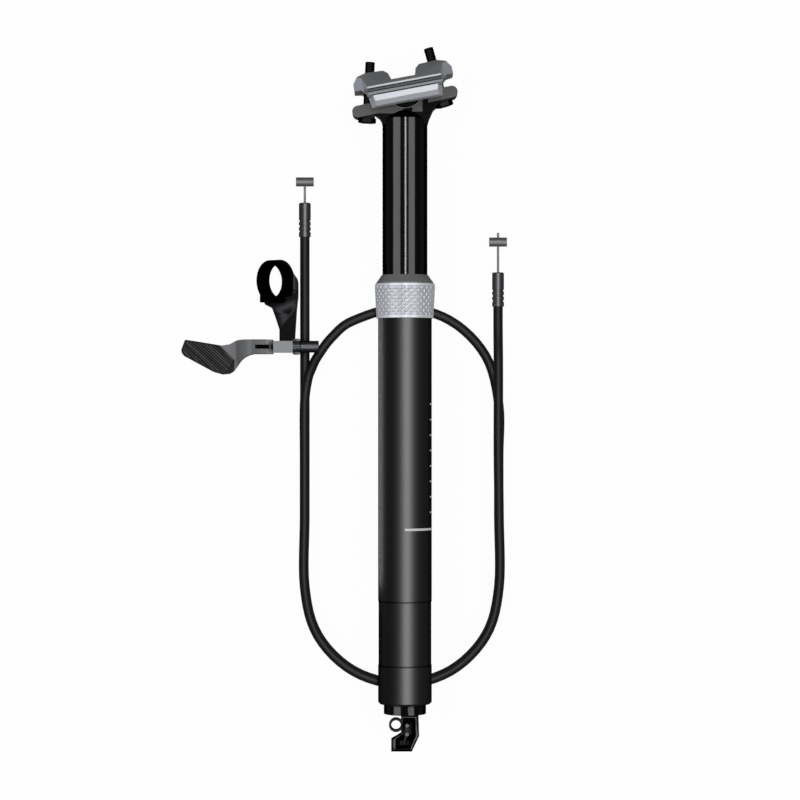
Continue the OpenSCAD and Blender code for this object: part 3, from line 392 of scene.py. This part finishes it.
# Plain steel pins, dulled by handling
pin_grey = finish("dull_steel_pin", "#77787a", 0.3, 0.5, 0.3, 0.05)
# Anodised ferrules, blasted first: one soft sheen down the middle
ferrule_satin = finish("satin_anodised_ferrule", "#94949a", 1.0, 0.47, 0.4, 0.06, edge=DARK_EDGE)
# Die-cast barrels on the wire's ends: grey, with a faint sparkle of the casting
barrel_grey = finish("die_cast_zinc_barrel", "#7b7c7e", 0.7, 0.45, 0.3, 0.05, edge=DARK_EDGE)
print("second finishes, first and last:", print_ink.name, barrel_grey.name)

# %% Shoulder lines on the tube
# The tube is turned down by a hair near its bottom end. Each shoulder gets a thin dark line painted round
# the tube as painted shade for the step, wider than the step so that it shows at this picture size.
BAND_ENDS = (-183.6, -225.2)
LINE_HALF = 0.55
tree = finishes["tube_black"].node_tree
shader = tree.nodes["Principled BSDF"]
place = add_node(tree, "ShaderNodeTexCoord")
along = add_node(tree, "ShaderNodeSeparateXYZ", {0: place.outputs["Object"]})
lines = [
    add_node(tree, "ShaderNodeMath", {
        0: along.outputs["Y"], 1: end * MM, 2: LINE_HALF * MM}, operation="COMPARE").outputs[0]
    for end in BAND_ENDS]
# Painted shade: the base colour turns dark grey within this half width of each shoulder
shoulder_shade_mask = add_node(tree, "ShaderNodeMath", {0: lines[0], 1: lines[1]}, operation="MAXIMUM")
plain = shader.inputs["Base Color"].links[0].from_socket
shoulder_shade_colour = add_node(tree, "ShaderNodeMix", {
    "Factor": shoulder_shade_mask.outputs[0], 6: plain, 7: linear_colour("#303031")}, data_type="RGBA")
tree.links.new(shoulder_shade_colour.outputs[2], shader.inputs["Base Color"])
print("shoulder lines at y, mm:", BAND_ENDS)

# %% Finishes onto the solids
own_finish = {
    "actuator_pins": pin_grey, "left_ferrule": ferrule_satin, "right_ferrule": ferrule_satin,
    "left_barrel": barrel_grey, "right_barrel": barrel_grey,
}
for node_name, node in frame["nodes"].items():
    node.data.materials.clear()
    node.data.materials.append(own_finish.get(node_name, finishes[slot_of[node_name]]))
cable_mesh.materials.append(finishes["cable_black"])
print("solids with a finish:", len(frame["nodes"]))

# %% [markdown]
# ## Softened edges
# Forged, machined and moulded parts have a small radius on every edge, and that radius is what catches
# the light. The solids are sharp, so a copy of each visible part gets a bevel: its loose triangles are
# merged, flat areas are joined, and only edges that turn by more than 30 degrees are rounded.

# %% Softening helpers
# A face looks up past UPWARD, points closer than MERGE metres are one, and faces within FLAT are one plane
UPWARD = 0.95
MERGE = 2e-6
CUT_SLACK = 1e-6
FLAT = radians(0.6)
SHARP = radians(30)
body_of = {node: body for body, nodes in frame["record"]["behaviour"]["bodies"].items() for node in nodes}
print("bodies that carry solids:", len(set(body_of.values())))


def cut_flats(work, point, across):
    """Splits the faces that look up along a plane, so that a part of a flat area can be painted."""
    work.normal_update()
    flats = [face for face in work.faces if face.normal.z > UPWARD]
    edges = {edge for face in flats for edge in face.edges}
    verts = {vert for face in flats for vert in face.verts}
    bmesh.ops.bisect_plane(work, geom=[*flats, *edges, *verts], dist=CUT_SLACK,
                           plane_co=Vector(point) * MM, plane_no=across)


def softened(node_name, width_mm, segments=3):
    """A copy of a CAD node with rounded edges, or sharp ones at a width of 0, which stands for it."""
    mesh = frame["nodes"][node_name].data.copy()
    work = bmesh.new()
    work.from_mesh(mesh)
    bmesh.ops.remove_doubles(work, verts=work.verts, dist=MERGE)
    if width_mm:
        bmesh.ops.dissolve_limit(work, angle_limit=FLAT, verts=work.verts, edges=work.edges)
    for point, across in flat_cuts.get(node_name, []):
        cut_flats(work, point, across)
    work.to_mesh(mesh)
    work.free()
    mesh.shade_smooth()
    mesh.set_sharp_from_angle(angle=SHARP)
    piece = bpy.data.objects.new(node_name + "_softened", mesh)
    scene.collection.objects.link(piece)
    if width_mm:
        bevel = piece.modifiers.new("edge radius", "BEVEL")
        bevel.width = width_mm * MM
        bevel.segments = segments
        bevel.limit_method = "ANGLE"
        bevel.angle_limit = SHARP
        bevel.use_clamp_overlap = True
        bevel.harden_normals = True
    made = bpy.data.meshes.new_from_object(piece.evaluated_get(bpy.context.evaluated_depsgraph_get()))
    piece.modifiers.clear()
    piece.data = made
    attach(piece, body_of[node_name])
    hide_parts(node_name)
    return piece


# %% Edge radius of each part
# Lines along which a flat area changes its finish: the pad's edge on the lever, and on the seat head the
# sides of its slot, its square block and its ledge
PAD_EDGE = Vector((-121.3, -18.1, 0))
PAD_EDGE_ACROSS = Vector((0.71, 0.704, 0))
SLOT_LEFT, SLOT_RIGHT, BLOCK_RIGHT, NECK_RIGHT = -1.2, 4.8, 11.3, 15
LEDGE_LOW, BLOCK_LOW = 132.4, 133.6
flat_cuts = {
    "lever_blade": [(PAD_EDGE, PAD_EDGE_ACROSS)],
    "seat_head": [((x, 0, 0), (1, 0, 0)) for x in (SLOT_LEFT, SLOT_RIGHT, BLOCK_RIGHT, NECK_RIGHT)]
    + [((0, y, 0), (0, 1, 0)) for y in (LEDGE_LOW, BLOCK_LOW)],
}
edge_radius = {
    "collar": 0.25, "seat_head": 0.8, "upper_clamp": 0.5, "lower_cradle": 0.6, "front_bolt": 0.4,
    "rear_bolt": 0.4, "bottom_cap": 0.4, "cable_stop_bracket": 0, "actuator_arm": 0.5, "remote_bracket": 0.6,
    "pinch_bolt": 0.3, "pivot_housing": 0.5, "lever_blade": 1.4, "thumb_pad": 0, "barrel_adjuster": 0.4,
    "left_barrel": 0.4, "right_barrel": 0.4,
}
soft = {}
for node_name, width in edge_radius.items():
    soft[node_name] = softened(node_name, width)
    print(soft[node_name].name, "faces:", len(soft[node_name].data.polygons))

# %% [markdown]
# ## Second finishes on some faces
# A few parts carry more than one finish, most of them painted light or shade: the clamp's lip is a painted
# highlight above a groove in painted shade, the wire's slot in the lever is painted black as shade, and the
# pad's rib crests are painted paler as highlights. The faces are picked by where they are and which way they
# point, in millimetres.

# %% Face painting
# A face counts as facing along an axis when its normal's share along it passes this
FACING = 0.9


def paint_faces(piece, material, test):
    """Gives another finish to the faces whose centre and normal pass the test."""
    piece.data.materials.append(material)
    slot = len(piece.data.materials) - 1
    picked = [face for face in piece.data.polygons if test(face.center / MM, face.normal)]
    for face in picked:
        face.material_index = slot
    print(piece.name, material.name, "faces:", len(picked))


# %% Clamp lip, groove and ends
joint_at = {joint["name"]: joint for joint in frame["record"]["behaviour"]["joints"]}
CLAMP_TILT = radians(10.5)
CLAMP_HALF_W = 30.6
# Heights above the clamp's pivot, and depths below its outermost face
LIP_FROM = 1.9
LIP_TO = 3.9
LIP_DEPTH = 0.5
GROOVE_FROM = -0.5
GROOVE_TO = 2.1
GROOVE_MOUTH = 0.3
GROOVE_DEPTH = 2
END_FACING = 0.6
to_clamp = Matrix.Rotation(-CLAMP_TILT, 3, "Z")
clamp_centre = Vector(joint_at["clamp_tilt"]["pos_m"]) / MM


def on_clamp_lip(centre, normal):
    up = (to_clamp @ (centre - clamp_centre)).y
    return LIP_FROM < up < LIP_TO and abs(centre.z) > CLAMP_HALF_W - LIP_DEPTH


def in_clamp_groove(centre, normal):
    up = (to_clamp @ (centre - clamp_centre)).y
    deep_enough = CLAMP_HALF_W - GROOVE_DEPTH < abs(centre.z) < CLAMP_HALF_W - GROOVE_MOUTH
    return GROOVE_FROM < up < GROOVE_TO and deep_enough


def on_clamp_end(centre, normal):
    return abs((to_clamp @ normal).x) > END_FACING


paint_faces(soft["upper_clamp"], pale_face, on_clamp_end)
paint_faces(soft["upper_clamp"], shaded_groove, in_clamp_groove)
paint_faces(soft["upper_clamp"], bright_edge, on_clamp_lip)

# %% Lever and pivot housing
lever_pin = Vector(joint_at["lever_swing"]["pos_m"]) / MM
SLOT_FROM = lever_pin.x - 22
SLOT_TO = lever_pin.x - 5
SLOT_HALF = 1.3
SLOT_SUNK = 1
RIM_FACING = 0.93
# Limits on the normal of a face that runs along the lever: how far it may turn sideways, and how far it
# must look up, towards the pad or towards the hub
SIDEWAYS = 0.35
LIFTED = 0.1
TO_PAD = -0.15
TO_HUB = 0.4
SLOPE_REACH = 3
lever_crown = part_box("lever_blade")[1][2] / MM
blade_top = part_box("thumb_pad")[0][2] / MM + 0.5
pad_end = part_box("thumb_pad")[1][0] / MM


def in_lever_slot(centre, normal):
    across_slot = abs(centre.y - lever_pin.y)
    return SLOT_FROM < centre.x < SLOT_TO and across_slot < SLOT_HALF and centre.z < lever_crown - SLOT_SUNK


def on_lever_rim(centre, normal):
    return normal.z < RIM_FACING or centre.z < blade_top


def along_lever(normal):
    return abs(normal.y) < SIDEWAYS and normal.z > LIFTED


def on_lever_slope(centre, normal):
    past_pad = (centre - PAD_EDGE).dot(PAD_EDGE_ACROSS) > 0
    if past_pad and normal.z > UPWARD and centre.z < blade_top:
        return True
    return along_lever(normal) and normal.x < TO_PAD and centre.x > pad_end - SLOPE_REACH


def on_lever_step(centre, normal):
    return along_lever(normal) and normal.x > TO_HUB


# Painted shade: faces that turn from the camera or lie below the blade's top go black
paint_faces(soft["lever_blade"], rim_painted_shade, on_lever_rim)
# Painted shade: the wire's slot in the lever is painted black
paint_faces(soft["lever_blade"], slot_shade_black, in_lever_slot)
# Painted light: the slope to the pad in a matt lit grey
paint_faces(soft["lever_blade"], lever_shoulder, on_lever_slope)
# Painted light: the steep step facing the hub is painted pale
paint_faces(soft["lever_blade"], lever_step, on_lever_step)
paint_faces(soft["pivot_housing"], hub_face, lambda centre, normal: normal.z > FACING)

# %% Bottom cap
# The cap is polished like the stanchion. It shows no strip of the box overhead, so a flag keeps that off
soft["bottom_cap"].data.materials[0] = finishes["stanchion_black"]
aim(softbox_over, [soft["bottom_cap"]], "EXCLUDE")
print("bottom cap finish:", soft["bottom_cap"].data.materials[0].name)

# %% Seat head and cradle
ARM_FRONT = 9
WEB_FRONT = 8.5
FRONT_SLACK = 0.2
NECK_R = 14.6
NECK_SLACK = 0.3
NECK_H = 10
LEVEL = 0.2
KEEL_FROM = 9
KEEL_TO = 11
neck_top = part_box("stanchion_tube")[1][1] / MM + NECK_H


def on_round_neck(centre, normal):
    from_axis = (centre.x ** 2 + centre.z ** 2) ** 0.5
    return centre.y < neck_top and abs(normal.y) < LEVEL and abs(from_axis - NECK_R) < NECK_SLACK


def on_arm_front(centre, normal):
    if normal.z < FACING:
        return False
    if abs(centre.z - ARM_FRONT) < FRONT_SLACK:
        return not BLOCK_RIGHT < centre.x < NECK_RIGHT
    if abs(centre.z - WEB_FRONT) < FRONT_SLACK:
        ledge = centre.x < SLOT_LEFT and centre.y > LEDGE_LOW
        return ledge or SLOT_RIGHT < centre.x < BLOCK_RIGHT and centre.y > BLOCK_LOW
    return False


def on_web_front(centre, normal):
    return normal.z > FACING and WEB_FRONT - FRONT_SLACK < centre.z < ARM_FRONT + FRONT_SLACK


def on_keel_end(centre, normal):
    return abs(normal.z) > FACING and KEEL_FROM < abs(centre.z) < KEEL_TO


paint_faces(soft["seat_head"], finishes["stanchion_black"], on_round_neck)
# Painted shade: the web's front is painted black
paint_faces(soft["seat_head"], slot_shade_black, on_web_front)
# Painted light: the arms' fronts and the square block in a lit grey
paint_faces(soft["seat_head"], arm_face, on_arm_front)
# Painted shade: the keel's ends are painted black, as the dark hollow under the cradle
paint_faces(soft["lower_cradle"], slot_shade_black, on_keel_end)

# %% Collar rims, pad ribs and bracket ridge
RIM_W = 1.9
CREST_H = 0.15
RIDGE_H = 0.35
RIDGE_FROM = 2.2
collar_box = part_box("collar")
pad_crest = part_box("thumb_pad")[1][2] / MM
bracket_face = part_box("cable_stop_bracket")[1][2] / MM
bracket_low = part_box("cable_stop_bracket")[0][1] / MM


def on_collar_rim(centre, normal):
    from_rim = min(centre.y - collar_box[0][1] / MM, collar_box[1][1] / MM - centre.y)
    return from_rim < RIM_W and abs(normal.y) < FACING


def on_ridge(centre, normal):
    return abs(centre.z) > bracket_face - RIDGE_H and centre.y > bracket_low + RIDGE_FROM


paint_faces(soft["collar"], rim_bright, on_collar_rim)
# Painted highlight on the crests of the pad's ribs
paint_faces(soft["thumb_pad"], rib_crest_highlight, lambda centre, normal: centre.z > pad_crest - CREST_H)
# Painted highlight along the bracket's ridge
paint_faces(soft["cable_stop_bracket"], ridge_highlight, on_ridge)

# %% [markdown]
# ## Knurl, ribs, marks, strands and threads
# These repeat by a rule, so Geometry Nodes make them. A ring of studs is one stud instanced on a circle's
# points, and a knurl is that ring instanced on a line of points, each row turned by half a pitch. A row
# of arcs gives the printed marks, and a helix gives both the strands of a wire and the thread of a bolt.
# Each tree has named inputs for its sizes, so one tree serves every place that needs it.


# %% Geometry Nodes helpers
def new_tree(name, inputs):
    """An empty geometry tree with named inputs, given as name: socket type."""
    tree = bpy.data.node_groups.new(name, "GeometryNodeTree")
    for label, kind in inputs.items():
        tree.interface.new_socket(label, in_out="INPUT", socket_type="NodeSocket" + kind)
    tree.interface.new_socket("Geometry", in_out="OUTPUT", socket_type="NodeSocketGeometry")
    return tree


def close_tree(tree, geometry, given):
    """Turns and places the form, realizes its instances, sets the material and links the output."""
    placed = add_node(tree, "GeometryNodeTransform", {
        "Geometry": geometry, "Translation": given["Place"], "Rotation": given["Turn"]})
    real = add_node(tree, "GeometryNodeRealizeInstances", {"Geometry": placed.outputs[0]})
    dressed = add_node(tree, "GeometryNodeSetMaterial", {
        "Geometry": real.outputs[0], "Material": given["Material"]})
    add_node(tree, "NodeGroupOutput", {"Geometry": dressed.outputs[0]})
    print(tree.name, "nodes:", len(tree.nodes))


def grown(name, tree, values, body, smooth_angle=30):
    """Runs a tree with its inputs set by identifier and returns a plain mesh piece that rides on a body."""
    piece = bpy.data.objects.new(name, bpy.data.meshes.new(name))
    scene.collection.objects.link(piece)
    modifier = piece.modifiers.new(name, "NODES")
    modifier.node_group = tree
    for item in tree.interface.items_tree:
        if item.in_out == "INPUT":
            modifier[item.identifier] = values[item.name]
    made = bpy.data.meshes.new_from_object(piece.evaluated_get(bpy.context.evaluated_depsgraph_get()))
    piece.modifiers.clear()
    piece.data = made
    made.shade_smooth()
    made.set_sharp_from_angle(angle=radians(smooth_angle))
    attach(piece, body)
    spread = [round((max(v.co[i] for v in made.vertices) - min(v.co[i] for v in made.vertices)) / MM, 2)
              for i in range(3)]
    print(name, "faces:", len(made.polygons), "spread, mm:", spread)
    return piece


ALONG_Y = (-pi / 2, 0, 0)
ALONG_X = (0, pi / 2, 0)

# %% [markdown]
# ### Knurl and grip ribs
# The collar is turned and then rolled between two toothed wheels, which leaves rows of small pointed
# studs for the fingers, and the lock ring has plain ribs. A bump would stay flat at the outline and under
# a low light, so each stud is a real cone with four sides: few faces, and the tree repeats it.

# %% Stud tree
stud_tree = new_tree("rows_of_studs_round_a_ring", {
    "Columns": "Int", "Rows": "Int", "Radius": "Float", "Row step": "Vector", "Widening": "Float",
    "Stud size": "Vector", "Stud lean": "Float", "Place": "Vector", "Turn": "Vector",
    "Material": "Material"})
given = add_node(stud_tree, "NodeGroupInput").outputs
ring = add_node(stud_tree, "GeometryNodeMeshCircle", {
    "Vertices": given["Columns"], "Radius": given["Radius"]})
column = add_node(stud_tree, "GeometryNodeInputIndex")
pitch = add_node(stud_tree, "ShaderNodeMath", {0: 2 * pi, 1: given["Columns"]}, operation="DIVIDE")
angle = add_node(stud_tree, "ShaderNodeMath", {
    0: column.outputs[0], 1: pitch.outputs[0], 2: pi / 2}, operation="MULTIPLY_ADD")
outward = add_node(stud_tree, "ShaderNodeCombineXYZ", {"X": pi / 2, "Z": angle.outputs[0]})
plain_stud = add_node(stud_tree, "GeometryNodeMeshCone", {
    "Vertices": 4, "Radius Top": 0.45, "Radius Bottom": 1.0, "Depth": 1.0})
lean = add_node(stud_tree, "ShaderNodeCombineXYZ", {"Z": given["Stud lean"]})
sized_stud = add_node(stud_tree, "GeometryNodeTransform", {
    "Geometry": plain_stud.outputs["Mesh"], "Scale": given["Stud size"]})
stud = add_node(stud_tree, "GeometryNodeTransform", {
    "Geometry": sized_stud.outputs[0], "Rotation": lean.outputs[0]})
studs = add_node(stud_tree, "GeometryNodeInstanceOnPoints", {
    "Points": ring.outputs[0], "Instance": stud.outputs[0], "Rotation": outward.outputs[0]})
line = add_node(stud_tree, "GeometryNodeMeshLine", {"Count": given["Rows"], "Offset": given["Row step"]})
row = add_node(stud_tree, "GeometryNodeInputIndex")
half_pitch = add_node(stud_tree, "ShaderNodeMath", {0: pi, 1: given["Columns"]}, operation="DIVIDE")
row_angle = add_node(stud_tree, "ShaderNodeMath", {
    0: row.outputs[0], 1: half_pitch.outputs[0]}, operation="MULTIPLY")
row_turn = add_node(stud_tree, "ShaderNodeCombineXYZ", {"Z": row_angle.outputs[0]})
row_growth = add_node(stud_tree, "ShaderNodeMath", {
    0: row.outputs[0], 1: given["Widening"], 2: 1.0}, operation="MULTIPLY_ADD")
row_scale = add_node(stud_tree, "ShaderNodeCombineXYZ", {
    "X": row_growth.outputs[0], "Y": row_growth.outputs[0], "Z": 1.0})
rows = add_node(stud_tree, "GeometryNodeInstanceOnPoints", {
    "Points": line.outputs[0], "Instance": studs.outputs[0], "Rotation": row_turn.outputs[0],
    "Scale": row_scale.outputs[0]})
close_tree(stud_tree, rows.outputs[0], given)

# %% Collar knurl
RIM_LOW = 2.0 * MM
RIM_HIGH = 1.8 * MM
KNURL_ROWS = 9
collar_low, collar_high = (Vector(corner) for corner in collar_box)
knurl_h = collar_high.y - collar_low.y - RIM_LOW - RIM_HIGH
row_step = knurl_h / KNURL_ROWS
grown("collar_knurl", stud_tree, {
    "Columns": 27, "Rows": KNURL_ROWS, "Radius": 18.1 * MM, "Row step": (0, 0, row_step), "Widening": 0.0055,
    "Stud size": (1.45 * MM, 2.6 * MM, 0.6 * MM), "Stud lean": radians(-38),
    "Place": (0, collar_low.y + RIM_LOW + row_step / 2, 0), "Turn": ALONG_Y,
    "Material": finishes["silver"]}, "post_lower")

# %% Grip ribs on the lock ring
ring_low, ring_high = (Vector(corner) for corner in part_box("adjuster_lock_ring"))
grown("lock_ring_ribs", stud_tree, {
    "Columns": 20, "Rows": 1, "Radius": (ring_high.z - ring_low.z) / 2, "Row step": (0, 0, 0),
    "Widening": 0.0, "Stud size": (0.5 * MM, 2.9 * MM, 0.6 * MM), "Stud lean": 0.0,
    "Place": (ring_low + ring_high) / 2, "Turn": ALONG_X,
    "Material": finishes["ferrule_grey"]}, "remote")

# %% [markdown]
# ### Printed marks
# The tube carries plain marks a centimetre apart and one line for the least depth in the frame, printed
# in white ink. An image could carry them, but thin arcs stay sharp from close by and need no unwrapping.

# %% Arc tree
arc_tree = new_tree("row_of_arcs", {
    "Count": "Int", "Step": "Vector", "Radius": "Float", "Start": "Float", "Sweep": "Float",
    "Width": "Float", "Thickness": "Float", "Place": "Vector", "Turn": "Vector", "Material": "Material"})
given = add_node(arc_tree, "NodeGroupInput").outputs
spots = add_node(arc_tree, "GeometryNodeMeshLine", {"Count": given["Count"], "Offset": given["Step"]})
arc = add_node(arc_tree, "GeometryNodeCurveArc", {
    "Resolution": 40, "Radius": given["Radius"], "Start Angle": given["Start"],
    "Sweep Angle": given["Sweep"]})
section = add_node(arc_tree, "GeometryNodeCurvePrimitiveQuadrilateral", {
    "Width": given["Thickness"], "Height": given["Width"]})
band = add_node(arc_tree, "GeometryNodeCurveToMesh", {
    "Curve": arc.outputs["Curve"], "Profile Curve": section.outputs[0], "Fill Caps": True})
bands = add_node(arc_tree, "GeometryNodeInstanceOnPoints", {
    "Points": spots.outputs[0], "Instance": band.outputs[0]})
close_tree(arc_tree, bands.outputs[0], given)

# %% Marks printed on the tube
# The ink's middle lies just above the tube's surface, and the ink is as thick as a coat of paint
INK_R = 17.46 * MM
INK_T = 0.06 * MM
grown("tube_depth_ticks", arc_tree, {
    "Count": 8, "Step": (0, 0, -10 * MM), "Radius": INK_R, "Start": radians(-22), "Sweep": radians(62),
    "Width": 0.9 * MM, "Thickness": INK_T, "Place": (0, -55.7 * MM, 0), "Turn": ALONG_Y,
    "Material": print_ink}, "post_lower")
grown("tube_insert_line", arc_tree, {
    "Count": 1, "Step": (0, 0, 0), "Radius": INK_R, "Start": radians(-90), "Sweep": radians(130),
    "Width": 1.5 * MM, "Thickness": INK_T, "Place": (0, -136.6 * MM, 0), "Turn": ALONG_Y,
    "Material": print_ink}, "post_lower")

# %% [markdown]
# ### Threads and wire strands
# A bolt's thread is one ridge wound round it, and an inner wire is six strands laid round each other. A
# spiral curve with a round section gives both, with one strand or six, so they share a tree. The Screw
# modifier could wind a thread too, but not six strands from one set of inputs.

# %% Helix tree
helix_tree = new_tree("strands_of_a_helix", {
    "Strands": "Int", "Radius": "Float", "Strand radius": "Float", "Length": "Float", "Turns": "Float",
    "Place": "Vector", "Turn": "Vector", "Material": "Material"})
given = add_node(helix_tree, "NodeGroupInput").outputs
starts = add_node(helix_tree, "GeometryNodeMeshLine", {"Count": given["Strands"], "Offset": (0, 0, 0)})
number = add_node(helix_tree, "GeometryNodeInputIndex")
pitch_angle = add_node(helix_tree, "ShaderNodeMath", {0: 2 * pi, 1: given["Strands"]}, operation="DIVIDE")
start_angle = add_node(helix_tree, "ShaderNodeMath", {
    0: number.outputs[0], 1: pitch_angle.outputs[0]}, operation="MULTIPLY")
start_turn = add_node(helix_tree, "ShaderNodeCombineXYZ", {"Z": start_angle.outputs[0]})
helix = add_node(helix_tree, "GeometryNodeCurveSpiral", {
    "Resolution": 20, "Rotations": given["Turns"], "Start Radius": given["Radius"],
    "End Radius": given["Radius"], "Height": given["Length"]})
round_section = add_node(helix_tree, "GeometryNodeCurvePrimitiveCircle", {
    "Resolution": 8, "Radius": given["Strand radius"]})
strand = add_node(helix_tree, "GeometryNodeCurveToMesh", {
    "Curve": helix.outputs[0], "Profile Curve": round_section.outputs[0], "Fill Caps": True})
strands = add_node(helix_tree, "GeometryNodeInstanceOnPoints", {
    "Points": starts.outputs[0], "Instance": strand.outputs[0], "Rotation": start_turn.outputs[0]})
close_tree(helix_tree, strands.outputs[0], given)

# %% Bolt threads
THREAD_PITCH = 1.0
BOLT_R = 3.0
THREAD_FROM = 23.0
THREAD_TO = 35.2
thread_len = THREAD_TO - THREAD_FROM
bolt_lean = {"front": -3, "rear": 16}
for side, lean_deg in bolt_lean.items():
    lean = radians(lean_deg)
    body = side + "_clamp_bolt"
    pivot = Vector(joint_at[side + "_bolt_swing"]["pos_m"])
    foot = pivot + Vector((-sin(lean), cos(lean), 0)) * THREAD_FROM * MM
    grown(body + "_thread", helix_tree, {
        "Strands": 1, "Radius": (BOLT_R - 0.08) * MM, "Strand radius": 0.28 * MM, "Length": thread_len * MM,
        "Turns": thread_len / THREAD_PITCH, "Place": foot, "Turn": (-pi / 2, 0, lean),
        "Material": finishes["black_steel"]}, body)

# %% Wire strands
WIRE_LAY = 7.0 * MM
for side in ("left", "right"):
    wire_low, wire_high = (Vector(corner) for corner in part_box(side + "_wire"))
    middle = (wire_low + wire_high) / 2
    wire_r = (wire_high.x - wire_low.x) / 2
    length = wire_high.y - wire_low.y
    grown(side + "_wire_strands", helix_tree, {
        "Strands": 6, "Radius": wire_r * 0.64, "Strand radius": wire_r * 0.36, "Length": length,
        "Turns": length / WIRE_LAY, "Place": (middle.x, wire_low.y, middle.z), "Turn": ALONG_Y,
        "Material": finishes["steel"]}, side + "_wire_end", 60)
    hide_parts(side + "_wire")
